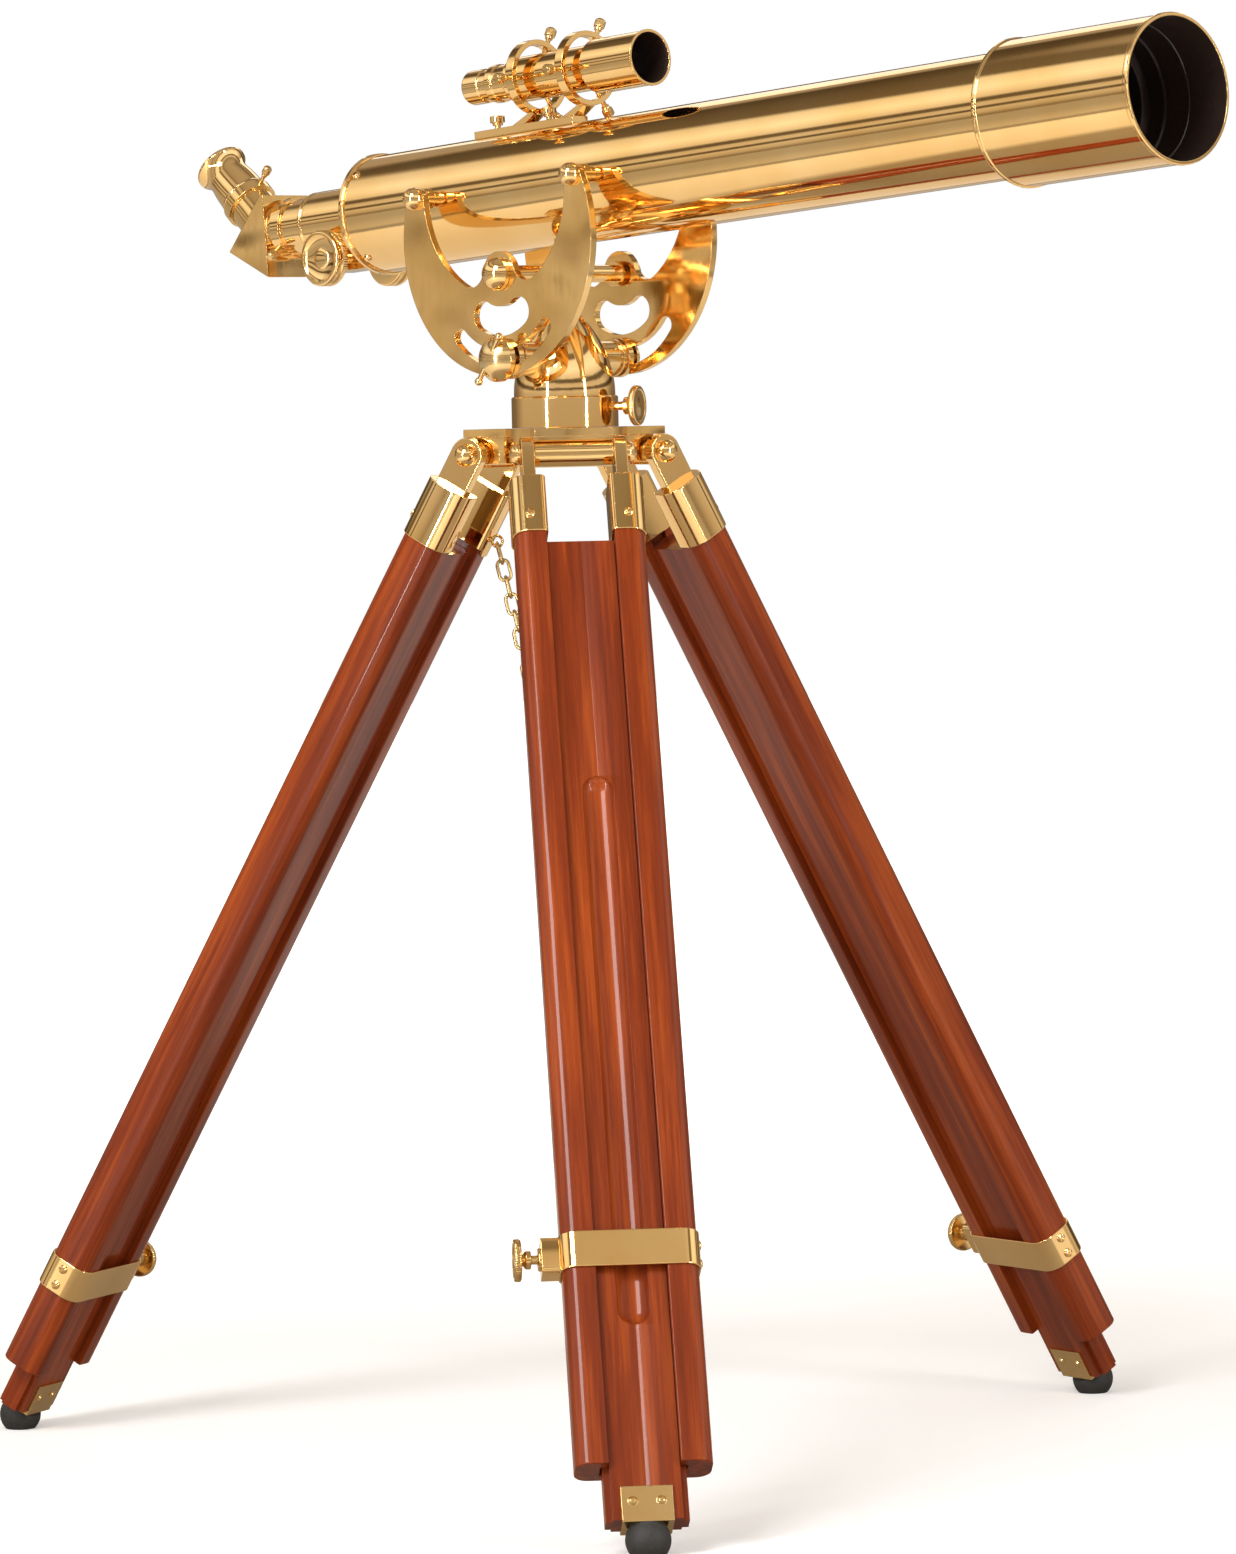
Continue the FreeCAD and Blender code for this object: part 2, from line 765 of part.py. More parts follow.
def clamp_sleeve():
    """The lower cross tube that spaces the crescents, with a flange at each end."""
    end = value("dims.plate_inside") - value("dims.face_gap")
    pieces = [cylinder("dims.sleeve_radius", 2 * end, at=(0, -end, 0), axis="Y")]
    for side, axis in ((-1, "Y"), (1, "-Y")):
        pieces.append(cylinder("dims.sleeve_flange", 5, at=(0, side * end, 0), axis=axis))
        pieces.append(cylinder("dims.sleeve_flange - 1", 2, at=(0, side * (end - 7.5), 0), axis=axis))
    bore = cylinder("dims.bolt_radius + dims.running_gap", 160, at=(0, -80, 0), axis="Y")
    frame = PIVOT.multiply(Placement(Vector(0, 0, -value("dims.clamp_drop")), Rotation()))
    sub_part("clamp_sleeve", cut(fuse(*pieces), bore), frame)


def altitude_clamp():
    """The clamp bolt through both slots, its big domed head with a tommy bar, and its end nut."""
    seat = value("dims.plate_inside") + value("dims.plate_thick") + value("dims.face_gap")
    bolt = cylinder("dims.bolt_radius", 2 * seat, at=(0, -seat, 0), axis="Y")
    dome = dome_nut("17", "15", (0, -seat, 0), "-Y")
    end_nut = dome_nut("12", "8", (0, seat, 0), "Y")
    across = seat + 11.5
    lean = Rotation(Y_AXIS, 35)
    rod = cylinder(2.0, 40, at=(0, 0, -20))
    tips = [sphere(3.1, at=(0, 0, offset)) for offset in (-20, 20)]
    bar = fuse(rod, *tips)
    bar.Placement = Placement(Vector(0, -across, 0), lean)
    frame = PIVOT.multiply(Placement(Vector(0, 0, -value("dims.clamp_drop")), Rotation()))
    sub_part("altitude_clamp", fuse(bolt, dome, end_nut, bar), frame)


# Crescent plates --------------------------------------------------------------------------------


def sector(inner, outer, half_angle, thickness):
    """Part of a flat ring hanging under the origin, with round ends, in the XZ plane."""
    middle = (value(inner) + value(outer)) / 2
    half_width = (value(outer) - value(inner)) / 2
    spread = value(half_angle)
    ring = cut(
        cylinder(outer, thickness, sweep=2 * spread),
        cylinder(inner, 3 * value(thickness), at=(0, 0, -value(thickness))),
    )
    turn = Rotation(X_AXIS, 90).multiply(Rotation(Z_AXIS, -90 - spread))
    ring.Placement = Placement(Vector(0, value(thickness) / 2, 0), turn)
    ends = []
    for side in (-1, 1):
        angle = math.radians(spread) * side
        spot = (middle * math.sin(angle), -value(thickness) / 2, -middle * math.cos(angle))
        ends.append(cylinder(half_width, thickness, at=spot, axis="Y"))
    return fuse(ring, *ends)


def crescent_points():
    """Where each horn ends, and where the fillets meet the pivot's lobe and the hollow."""
    lobe_out = value("dims.lobe_radius + dims.lobe_fillet")
    fillet_out = value("dims.inner_radius - dims.lobe_fillet")
    lift = value("dims.inner_lift")
    fillet_z = (lobe_out ** 2 - fillet_out ** 2 + lift ** 2) / (2 * lift)
    fillet_x = math.sqrt(lobe_out ** 2 - fillet_z ** 2)
    share = value("dims.lobe_radius") / lobe_out
    lobe_touch = (fillet_x * share, fillet_z * share)
    share = value("dims.inner_radius") / fillet_out
    hollow_touch = (fillet_x * share, lift + (fillet_z - lift) * share)
    over = value("dims.tube_lift - dims.crescent_lift")
    horn_outer = math.sqrt(value("dims.crescent_radius") ** 2 - over ** 2)
    over = value("dims.tube_lift - dims.inner_lift")
    horn_inner = math.sqrt(value("dims.inner_radius") ** 2 - over ** 2)
    return horn_outer, horn_inner, lobe_touch, hollow_touch


def crescent_plate(label, side):
    """A half-moon plate with a lobe for the pivot, an arc slot and a window."""
    horn_outer, horn_inner, lobe_touch, hollow_touch = crescent_points()
    cap = (horn_outer - horn_inner) / 2 + 0.3
    tube = "dims.tube_lift"
    corners = [
        (horn_inner, tube, cap, -1),
        (hollow_touch[0], hollow_touch[1], "dims.inner_radius", 1),
        (lobe_touch[0], lobe_touch[1], "dims.lobe_fillet", 1),
        (-lobe_touch[0], lobe_touch[1], "dims.lobe_radius", -1),
        (-hollow_touch[0], hollow_touch[1], "dims.lobe_fillet", 1),
        (-horn_inner, tube, "dims.inner_radius", 1),
        (-horn_outer, tube, cap, -1),
        (0, "dims.crescent_lift - dims.crescent_radius", "dims.crescent_radius", -1),
        (horn_outer, tube, "dims.crescent_radius", -1),
    ]
    plate = plated(corners, "dims.plate_thick")
    slot = sector(
        "dims.clamp_drop - dims.slot_width / 2",
        "dims.clamp_drop + dims.slot_width / 2",
        "dims.slot_half_angle",
        20,
    )
    window = sector("dims.window_inner", "dims.window_outer", "dims.window_half_angle", 20)
    pivot_bore = cylinder("dims.pin_radius + dims.running_gap", 40, at=(0, -20, 0), axis="Y")
    horn_bores = [
        cylinder(4.5, 40, at=(way * (horn_outer + horn_inner) / 2, -20, tube), axis="Y")
        for way in (-1, 1)
    ]
    middle = side * (value("dims.plate_inside") + value("dims.plate_thick") / 2)
    frame = TUBE.multiply(Placement(Vector(0, middle, 0), Rotation()))
    sub_part(label, cut(plate, slot, window, pivot_bore, *horn_bores), frame)


def horn_studs():
    """Four studs that stand the crescents off the tube's sides, each with a collar and a dome."""
    horn_outer, horn_inner = crescent_points()[:2]
    reach = (horn_outer + horn_inner) / 2
    studs = []
    for along in (-reach, reach):
        for side, axis in ((-1, "-Y"), (1, "Y")):
            wall = value("dims.tube_radius") - 3
            inside = value("dims.plate_inside")
            outside = inside + value("dims.plate_thick")
            studs.append(
                fuse(
                    cylinder(7.8, inside - 51, at=(along, side * 51, 65), axis=axis),
                    cylinder(6.2, 51 - wall, at=(along, side * wall, 65), axis=axis),
                    cylinder(4.45, outside - inside, at=(along, side * inside, 65), axis=axis),
                    dome_nut("8.6", "10", (along, side * outside, 65), axis),
                )
            )
    tube_hole = cylinder("dims.tube_radius", 400, at=(-200, 0, "dims.tube_lift"), axis="X")
    sub_part("horn_studs", group(*[cut(stud, tube_hole) for stud in studs]), TUBE)


# Main tube --------------------------------------------------------------------------------------

TUBE_AXIS = TUBE.multiply(Placement(Vector(0, 0, value("dims.tube_lift")), TURN["X"]))
TUBE_LINE = TUBE.multiply(Placement(Vector(0, 0, value("dims.tube_lift")), Rotation()))


def main_tube():
    wall = "dims.tube_radius - dims.tube_wall"
    corners = [
        (wall, "dims.tube_back"),
        ("dims.tube_radius", "dims.tube_back"),
        ("dims.tube_radius", "dims.tube_front"),
        (wall, "dims.tube_front"),
    ]
    sub_part("main_tube", turned(corners), TUBE_AXIS)


def rear_cell():
    """The back plate with its rolled rim, round the focuser, and the screws that hold it."""
    back = "dims.tube_back"
    rim = "dims.rear_rim"
    corners = [
        ("dims.focuser_radius", "%s - 5" % back),
        ("dims.tube_radius - 3", "%s - 5" % back),
        ("%s - 1" % rim, "%s - 5" % back),
        (rim, "%s - 4" % back, 1.2, 1),
        (rim, "%s - 1" % back),
        ("%s - 1" % rim, back, 1.2, 1),
        ("dims.tube_radius - dims.tube_wall", back),
        ("dims.tube_radius - dims.tube_wall", "%s + 14" % back),
        ("dims.tube_radius - 4", "%s + 14" % back),
        ("dims.tube_radius - 4", "%s + 1" % back),
        ("dims.focuser_radius", "%s + 1" % back),
    ]
    plate = place(turned(corners), (0, 0, 0), "X")
    screws = []
    for angle in (50, 140, 230, 320):
        around = math.radians(angle)
        direction = Vector(0, math.cos(around), math.sin(around))
        screw = cone(3.6, 2.0, 2.2)
        spot = direction * value("dims.tube_radius") + Vector(value(back) + 6, 0, 0)
        screw.Placement = Placement(spot, Rotation(Z_AXIS, direction))
        screws.append(screw)
    sub_part("rear_cell", group(plate, *screws), TUBE_LINE)


def objective_cell():
    """The cell ring between tube and dew shield, with its bead and the ring in front of the lens."""
    cell = "dims.cell_radius"
    front = "dims.tube_front"
    corners = [
        ("dims.tube_radius - dims.tube_wall - 3", "%s - 8" % front),
        ("dims.tube_radius - dims.tube_wall", "%s - 8" % front),
        ("dims.tube_radius - dims.tube_wall", front),
        (cell, front),
        (cell, "dims.dew_start"),
        ("dims.dew_radius - 1.8", "dims.dew_start"),
        ("dims.dew_radius - 1.8", "dims.dew_start + 14"),
        ("dims.lens_radius - 3", "dims.dew_start + 14"),
        ("dims.lens_radius - 3", "dims.dew_start + 10"),
        ("dims.lens_radius", "dims.dew_start + 10"),
        ("dims.lens_radius", "dims.dew_start + 1"),
        ("dims.lens_radius - 2", "dims.dew_start + 1"),
        ("dims.lens_radius - 2", "%s - 8" % front),
    ]
    sub_part("objective_cell", turned(corners), TUBE_AXIS)


def objective_lens():
    """The doublet as one disc, bulging at the front and gently at the back."""
    corners = [
        (0, "dims.dew_start + 1.5"),
        ("dims.lens_radius", "dims.dew_start + 3", cap_radius("dims.lens_radius", 1.5), -1),
        ("dims.lens_radius", "dims.dew_start + 8"),
        (0, "dims.dew_start + 12", cap_radius("dims.lens_radius", 4), -1),
    ]
    sub_part("objective_lens", turned(corners), TUBE_AXIS)


def dew_shield():
    """The hood with a beaded ring at its root and a rolled lip at the front."""
    outside = "dims.dew_radius"
    inside = "dims.dew_radius - 1.8"
    corners = [
        (inside, "dims.dew_start"),
        (outside, "dims.dew_start"),
        ("%s + 1" % outside, "dims.dew_start + 1.5", 1.6, 1),
        ("%s + 1" % outside, "dims.dew_start + 3.5"),
        (outside, "dims.dew_start + 5", 1.6, 1),
        (outside, "dims.dew_front - 4"),
        ("%s + 0.8" % outside, "dims.dew_front - 3"),
        ("%s + 0.8" % outside, "dims.dew_front - 1"),
        (outside, "dims.dew_front"),
        (inside, "dims.dew_front"),
    ]
    sub_part("dew_shield", turned(corners), TUBE_AXIS)


# Focuser ----------------------------------------------------------------------------------------


def focuser_body():
    """The housing tube behind the back plate, with the rack box and pinion bearings under it."""
    gap = "dims.running_gap"
    outside = "dims.focuser_radius"
    inside = "dims.draw_radius + %s" % gap
    corners = [
        (inside, "dims.focuser_end"),
        (outside, "dims.focuser_end"),
        (outside, "dims.focuser_end + 2"),
        ("%s - 0.8" % outside, "dims.focuser_end + 3"),
        ("%s - 0.8" % outside, "dims.focuser_end + 5"),
        (outside, "dims.focuser_end + 6"),
        (outside, "dims.tube_back + 12"),
        (inside, "dims.tube_back + 12"),
    ]
    sleeve = place(turned(corners), (0, 0, 0), "X")
    drop = "-dims.pinion_drop - 9.5"
    rack_box = box(42, 22, 18, at=("dims.pinion_at + 2.5", 0, drop))
    sleeve_room = cylinder(inside, 220, at=(-370, 0, 0), axis="X")
    rack_room = box(280, 8.4, 8, at=(-190, 0, "-dims.draw_radius - dims.rack_height - 0.4"))
    bearing = cylinder(
        "dims.pinion_radius + %s" % gap,
        60,
        at=("dims.pinion_at", -30, "-dims.pinion_drop"),
        axis="Y",
    )
    pinion_room = box(
        "2 * dims.gear_radius + 1.4",
        8.4,
        "2 * dims.gear_radius + 0.8",
        at=("dims.pinion_at", 0, "-dims.pinion_drop - dims.gear_radius - 0.4"),
    )
    body = cut(fuse(sleeve, rack_box), sleeve_room, rack_room, bearing, pinion_room)
    sub_part("focuser_body", body, TUBE_LINE)


def draw_tube():
    """The sliding tube with its rack underneath and the collar that holds the diagonal."""
    bore = "dims.nose_radius + dims.running_gap"
    corners = [
        ("dims.draw_radius - 1.5", "dims.draw_front"),
        ("dims.draw_radius", "dims.draw_front"),
        ("dims.draw_radius", "dims.draw_end"),
        ("dims.draw_radius + 2", "dims.draw_end"),
        ("dims.draw_radius + 2", "dims.collar_end + 1"),
        ("dims.draw_radius + 1", "dims.collar_end"),
        (bore, "dims.collar_end"),
        (bore, "dims.draw_end + 16"),
        ("dims.draw_radius - 1.5", "dims.draw_end + 16"),
    ]
    tube = place(turned(corners), (0, 0, 0), "X")
    rack = box(110, 6, 3.4, at=("dims.draw_end + 59", 0, "-dims.draw_radius - dims.rack_height"))
    hollow = cylinder("dims.draw_radius - 1", 320, at=(-370, 0, 0), axis="X")
    screw_bore = cylinder(1.65, 14, at=(0, 0, 12))
    screw_bore.Placement = diagonal_screw_frame().multiply(screw_bore.Placement)
    sub_part("draw_tube", cut(fuse(tube, cut(rack, hollow)), screw_bore), TUBE_LINE)


def diagonal_screw_frame():
    """Z points out through the collar, down and to the right of the tube."""
    middle = (value("dims.draw_end") + value("dims.collar_end")) / 2
    return Placement(Vector(middle, 0, 0), Rotation(X_AXIS, 128))


def diagonal_screw():
    screw = knurled_screw(3.6, 9, 1.6, 12, (0, 0, "dims.nose_radius + 0.3"), "Z")
    sub_part("diagonal_screw", screw, TUBE_LINE.multiply(diagonal_screw_frame()))


def focus_knobs():
    """The pinion shaft with a dished wheel on each end."""
    inside = value("dims.knob_inside")
    thick = value("dims.knob_thick")
    shaft = cylinder("dims.pinion_radius", 2 * inside, at=(0, -inside, 0), axis="Y")
    gear = cylinder("dims.gear_radius", 6, at=(0, -3, 0), axis="Y")
    pieces = [shaft, gear]
    for axis in ("Y", "-Y"):
        corners = [
            (0, inside - 4),
            (8, inside - 4),
            (8, inside),
            ("dims.knob_radius - 1.5", inside),
            ("dims.knob_radius", inside + 1.5),
            ("dims.knob_radius", inside + thick * 0.4),
            ("dims.knob_radius - 1.2", inside + thick * 0.5),
            ("dims.knob_radius", inside + thick * 0.6),
            ("dims.knob_radius", inside + thick - 1),
            ("dims.knob_radius - 1.5", inside + thick),
            ("dims.knob_radius - 4", inside + thick - 1.5),
            (9, inside + thick - 3, 60, 1),
            (0, inside + thick - 3),
        ]
        pieces.append(turned_at(corners, (0, 0, 0), axis))
    wheel = fuse(*pieces)
    spot = Vector(value("dims.pinion_at"), 0, -value("dims.pinion_drop"))
    sub_part("focus_knobs", wheel, TUBE_LINE.multiply(Placement(spot, Rotation())))


# Diagonal and eyepiece --------------------------------------------------------------------------

PRISM_TOP = 27.0
PRISM_LOW = -37.0
PRISM_SIDE = 40.0


def eyepiece_frame():
    """Origin at the middle of the prism's eyepiece face, Z out along the eyepiece."""
    front = value("dims.prism_front")
    spot = Vector(front - 4 - PRISM_SIDE / 2, 0, PRISM_TOP - PRISM_SIDE / 2)
    return TUBE_LINE.multiply(Placement(spot, Rotation(Y_AXIS, -45)))


def diagonal():
    """The 45 degree prism box with its nose, its flange and the socket for the eyepiece."""
    front = "dims.prism_front"
    corners = [
        (front, PRISM_LOW),
        ("%s - 4 - %f" % (front, PRISM_SIDE), PRISM_TOP - PRISM_SIDE),
        ("%s - 4" % front, PRISM_TOP),
        (front, PRISM_TOP),
    ]
    prism = plated(corners, "2 * dims.prism_half_width")
    flange = cylinder("dims.draw_radius", 6, at=(front, 0, 0), axis="X")
    nose_length = "dims.draw_end + 12 - dims.prism_front"
    nose = cylinder("dims.nose_radius", nose_length, at=(front, 0, 0), axis="X")
    flange_cut = box(40, 80, 80, at=("dims.collar_end - dims.face_gap + 20", 0, -40))
    collar = cut(flange, flange_cut)
    socket = cylinder("dims.socket_radius", "dims.socket_length + 6", at=(0, 0, -6))
    ring = cylinder("dims.socket_radius + 2.4", 8, at=(0, 0, "dims.socket_length - 6"))
    socket_frame = TUBE_LINE.inverse().multiply(eyepiece_frame())
    barrel_bore = cylinder("dims.nose_radius + dims.running_gap", 40, at=(0, 0, 3))
    screw_bore = cylinder(1.65, 20, at=(10, 0, "dims.socket_length - 2"), axis="X")
    for item in (socket, ring, barrel_bore, screw_bore):
        item.Placement = socket_frame.multiply(item.Placement)
    light_path = cylinder("dims.nose_radius - 2.3", 40, at=("dims.prism_front - 4", 0, 0), axis="X")
    solid = fuse(prism, nose, collar, socket, ring)
    sub_part("diagonal", cut(solid, barrel_bore, screw_bore, light_path), TUBE_LINE)


def eyepiece_screw():
    screw = knurled_screw(
        3.4, 9, 1.6, 11, ("dims.nose_radius + 0.3", 0, "dims.socket_length - 2"), "X"
    )
    sub_part("eyepiece_screw", screw, eyepiece_frame())


def eyepiece():
    """The eyepiece: barrel, beaded body, waist and flared cup, hollow down to its eye lens."""
    seat = "dims.socket_length + 2 + dims.face_gap"
    corners = [
        (0, 8),
        ("dims.nose_radius - 0.02", 8),
        ("dims.nose_radius - 0.02", seat),
        (19.5, seat),
        (20.2, "%s + 1.5" % seat),
        (19.5, "%s + 3" % seat),
        (18.8, "%s + 3.5" % seat),
        (16.8, "%s + 26" % seat, 140, -1),
        ("dims.cup_radius", "%s + 38" % seat, 16, 1),
        ("dims.cup_radius", "%s + 40" % seat),
        ("dims.cup_radius - 2", "%s + 40.6" % seat),
        (13.5, "%s + 33" % seat, 14, -1),
        (11, "%s + 30" % seat),
        (0, "%s + 30" % seat),
    ]
    sub_part("eyepiece", turned(corners), eyepiece_frame())


# Finder -----------------------------------------------------------------------------------------


def finder_line():
    spot = Vector(0, 0, value("dims.finder_lift"))
    return TUBE_LINE.multiply(Placement(spot, Rotation()))


def finder_tube():
    """The finder: stepped eyepiece end, body and the wider hood, hollow at the front."""
    back = "dims.finder_back"
    front = "dims.finder_front"
    corners = [
        (0, "%s + 3" % back),
        (9, "%s + 3" % back),
        (11, back),
        (12.5, back),
        (13, "%s + 1" % back),
        (13, "%s + 16" % back),
        (12, "%s + 17" % back),
        (12, "%s + 26" % back),
        (14.5, "%s + 27" % back),
        (14.5, "%s + 33" % back),
        (13.5, "%s + 34" % back),
        (13.5, "%s + 46" % back),
        (17, "%s + 50" % back),
        (17, "%s - 56" % front),
        (20.4, "%s - 55" % front),
        (20.4, "%s - 2" % front),
        (21, "%s - 1.5" % front),
        (21, front),
        (19, front),
        (19, "%s - 44" % front),
        (0, "%s - 44" % front),
    ]
    sub_part("finder_tube", turned(corners), finder_line().multiply(Placement(Vector(), TURN["X"])))


def finder_lens():
    corners = [
        (0, "dims.finder_front - 43.9"),
        (18.9, "dims.finder_front - 43.9"),
        (18.9, "dims.finder_front - 41"),
        (0, "dims.finder_front - 38", cap_radius(18.9, 3), -1),
    ]
    sub_part("finder_lens", turned(corners), finder_line().multiply(Placement(Vector(), TURN["X"])))


RING_SCREW_ANGLES = {"upper": 62, "left": 182, "lower": 302}


def finder_bracket(name, along):
    """A ring for the finder on a strut that leans forward from its foot on the base plate."""
    radius = "dims.ring_radius"
    inside = "dims.ring_radius - dims.ring_thick"
    half = "dims.ring_width / 2"
    corners = [
        (inside, "-%s" % half),
        (radius, "-%s" % half),
        (radius, half),
        (inside, half),
    ]
    ring = place(turned(corners), (0, 0, 0), "X")
    bores = []
    for angle in RING_SCREW_ANGLES.values():
        bore = cylinder(1.85, 40, at=(0, 0, 10))
        bore.Placement = Placement(Vector(), Rotation(X_AXIS, angle - 90)).multiply(bore.Placement)
        bores.append(bore)
    low = value("dims.tube_radius") + 5 - value("dims.finder_lift")
    top = -value("dims.ring_radius") + 2
    strut = plated(
        [(-24, low), (-10, low), (4, top), (-4, top)],
        12,
    )
    frame = finder_line().multiply(Placement(Vector(value(along), 0, 0), Rotation()))
    sub_part("finder_ring_%s" % name, cut(fuse(ring, strut), *bores), frame)
    for screw_name, angle in RING_SCREW_ANGLES.items():
        screw = knurled_screw(4.2, 9.5, 1.8, 15, (0, 0, 17.35), "Z")
        around = Placement(Vector(), Rotation(X_AXIS, angle - 90))
        sub_part("finder_screw_%s_%s" % (name, screw_name), screw, frame.multiply(around))


def finder_base():
    """The base plate on top of the main tube, curved under to fit it, with two thumb nuts."""
    slab = box(108, 16, 8, at=(-23, 0, "dims.tube_radius - 3"))
    tube = cylinder("dims.tube_radius", 400, at=(-200, 0, 0), axis="X")
    pieces = [cut(slab, tube)]
    for along in (-59, -2):
        spot = (along, 0, "dims.tube_radius + 5")
        pieces.append(knurled_screw(5.6, 7, 2.2, 3, spot, "Z"))
    sub_part("finder_base", fuse(*pieces), TUBE_LINE)


# Chain ------------------------------------------------------------------------------------------


def chain_link(start, direction, roll):
    """One oval link whose length runs along direction from start."""
    wire = value("dims.chain_wire")
    half_width = value("dims.chain_half_width")
    straight = value("dims.chain_pitch") + 2 * wire - 2 * half_width
    ends = []
    for offset in (0, straight):
        arc = torus("dims.chain_half_width", wire, at=(0, 0, offset), axis="Y")
        keep = box(40, 40, 20, at=(0, 0, offset - 20 if offset == 0 else offset))
        ends.append(common(arc, keep))
    sides = [
        cylinder(wire, straight, at=(side * half_width, 0, 0))
        for side in (-1, 1)
    ]
    link = fuse(*ends, *sides)
    turn = Rotation(Z_AXIS, direction).multiply(Rotation(Z_AXIS, roll))
    lead = Vector(0, 0, half_width - wire)
    link.Placement = Placement(start, turn).multiply(Placement(lead, Rotation()))
    return link


def leg_chain():
    """A slack chain from the left leg's eye towards the middle of the tripod."""
    frame = leg_frame(LEGS["left"])
    x_at = -value(RAIL_CENTRE) + 6
    face = value("dims.rail_depth") / 2 + value("dims.ferrule_wall")
    eye = frame.multVec(Vector(x_at, face + 1.6 + 4.6, -62))
    axis = Vector(value("dims.axis_x"), value("dims.axis_y"), 0)
    inward = Vector(axis.x - eye.x, axis.y - eye.y, 0).normalize()
    spot = eye + Vector(0, 0, -2.6)
    links = []
    for number in range(15):
        lean = math.radians(20 - number * 0.5)
        direction = inward * math.sin(lean) - Z_AXIS * math.cos(lean)
        links.append(chain_link(spot, direction, 90 * (number % 2)))
        spot = spot + direction * value("dims.chain_pitch")
    end_ring = torus(6.5, 1.3, at=(0, 0, 0), axis="Y")
    end_ring.Placement = Placement(spot + direction * 7.2, Rotation(Z_AXIS, direction)).multiply(
        Placement(Vector(), Rotation(X_AXIS, 90))
    )
    sub_part("leg_chain", group(*links, end_ring))


def build():
    tripod_head()
    hinge_bolts()
    legs()
    leg_chain()
    pedestal()
    pivot_shaft()
    clamp_sleeve()
    azimuth_clamp()
    altitude_clamp()
    crescent_plate("crescent_right", -1)
    crescent_plate("crescent_left", 1)
    horn_studs()
    main_tube()
    rear_cell()
    objective_cell()
    objective_lens()
    dew_shield()
    focuser_body()
    draw_tube()
    focus_knobs()
    diagonal_screw()
    diagonal()
    eyepiece()
    eyepiece_screw()
    finder_base()
    finder_bracket("rear", "dims.ring_rear")
    finder_bracket("front", "dims.ring_front")
    finder_tube()
    finder_lens()


def export():
    doc.recompute()
    for item in doc.Objects:
        if "Invalid" in item.State or "Error" in item.State:
            raise RuntimeError("%s (%s): %s" % (item.Name, item.Label, item.State))
    os.makedirs("parts", exist_ok=True)
    for item in SUB_PARTS:
        if item.Shape.isNull() or not item.Shape.isValid():
            raise RuntimeError("%s has no valid shape" % item.Label)
        item.Shape.exportStep("parts/%s.step" % item.Label)


build()
export()
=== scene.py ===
import json
import math

import bmesh
import bpy
from mathutils import Matrix, Vector


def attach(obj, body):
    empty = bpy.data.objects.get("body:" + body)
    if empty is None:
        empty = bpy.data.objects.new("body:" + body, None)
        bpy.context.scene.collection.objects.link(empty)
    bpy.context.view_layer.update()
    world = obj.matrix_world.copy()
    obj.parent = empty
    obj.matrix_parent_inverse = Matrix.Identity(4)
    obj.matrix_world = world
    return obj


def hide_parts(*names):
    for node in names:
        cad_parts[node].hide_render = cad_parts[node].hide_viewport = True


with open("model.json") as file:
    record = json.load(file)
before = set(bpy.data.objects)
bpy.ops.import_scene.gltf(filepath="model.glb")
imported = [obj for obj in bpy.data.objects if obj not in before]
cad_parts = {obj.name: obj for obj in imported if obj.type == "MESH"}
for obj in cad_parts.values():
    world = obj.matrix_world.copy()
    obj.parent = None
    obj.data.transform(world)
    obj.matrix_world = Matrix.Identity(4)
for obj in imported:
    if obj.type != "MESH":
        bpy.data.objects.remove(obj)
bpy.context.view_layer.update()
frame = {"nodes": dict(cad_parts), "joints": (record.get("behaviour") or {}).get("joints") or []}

NODES = frame["nodes"]
JOINTS = {joint["name"]: joint for joint in frame["joints"]}
MM = 0.001
SCENE = bpy.context.scene


# Camera -----------------------------------------------------------------------------------------

CAMERA_PLACE = Vector((0.002, -5.298, 0.790))
CAMERA_YAW = math.radians(0.32)
CAMERA_PITCH = math.radians(-2.96)
CAMERA_ROLL = -0.021
FOCAL_LENGTH_MM = 209.4
SENSOR_MM = 36.0


def make_camera():
    forward = Vector((
        math.sin(CAMERA_YAW) * math.cos(CAMERA_PITCH),
        math.cos(CAMERA_YAW) * math.cos(CAMERA_PITCH),
        math.sin(CAMERA_PITCH),
    ))
    level = Vector((math.cos(CAMERA_YAW), -math.sin(CAMERA_YAW), 0))
    above = level.cross(forward)
    right = level * math.cos(CAMERA_ROLL) + above * math.sin(CAMERA_ROLL)
    up = right.cross(forward)
    data = bpy.data.cameras.new("camera")
    data.sensor_fit = "HORIZONTAL"
    data.sensor_width = SENSOR_MM
    data.lens = FOCAL_LENGTH_MM
    data.clip_end = 60
    camera = bpy.data.objects.new("camera", data)
    turn = Matrix((right, up, -forward)).transposed().to_4x4()
    camera.matrix_world = Matrix.Translation(CAMERA_PLACE) @ turn
    SCENE.collection.objects.link(camera)
    SCENE.camera = camera


make_camera()


# Frames of the moving bodies, read from the joints -------------------------------------------------

def frame_from(origin, x_axis, z_axis):
    """A matrix with its X and Z along two joint axes."""
    x_axis = Vector(x_axis).normalized()
    z_axis = Vector(z_axis).normalized()
    y_axis = z_axis.cross(x_axis).normalized()
    turn = Matrix((x_axis, y_axis, x_axis.cross(y_axis))).transposed().to_4x4()
    return Matrix.Translation(Vector(origin)) @ turn


def along(origin, z_axis):
    """A matrix with its Z along an axis, and any X."""
    z_axis = Vector(z_axis).normalized()
    return Matrix.Translation(Vector(origin)) @ z_axis.to_track_quat("Z", "Y").to_matrix().to_4x4()


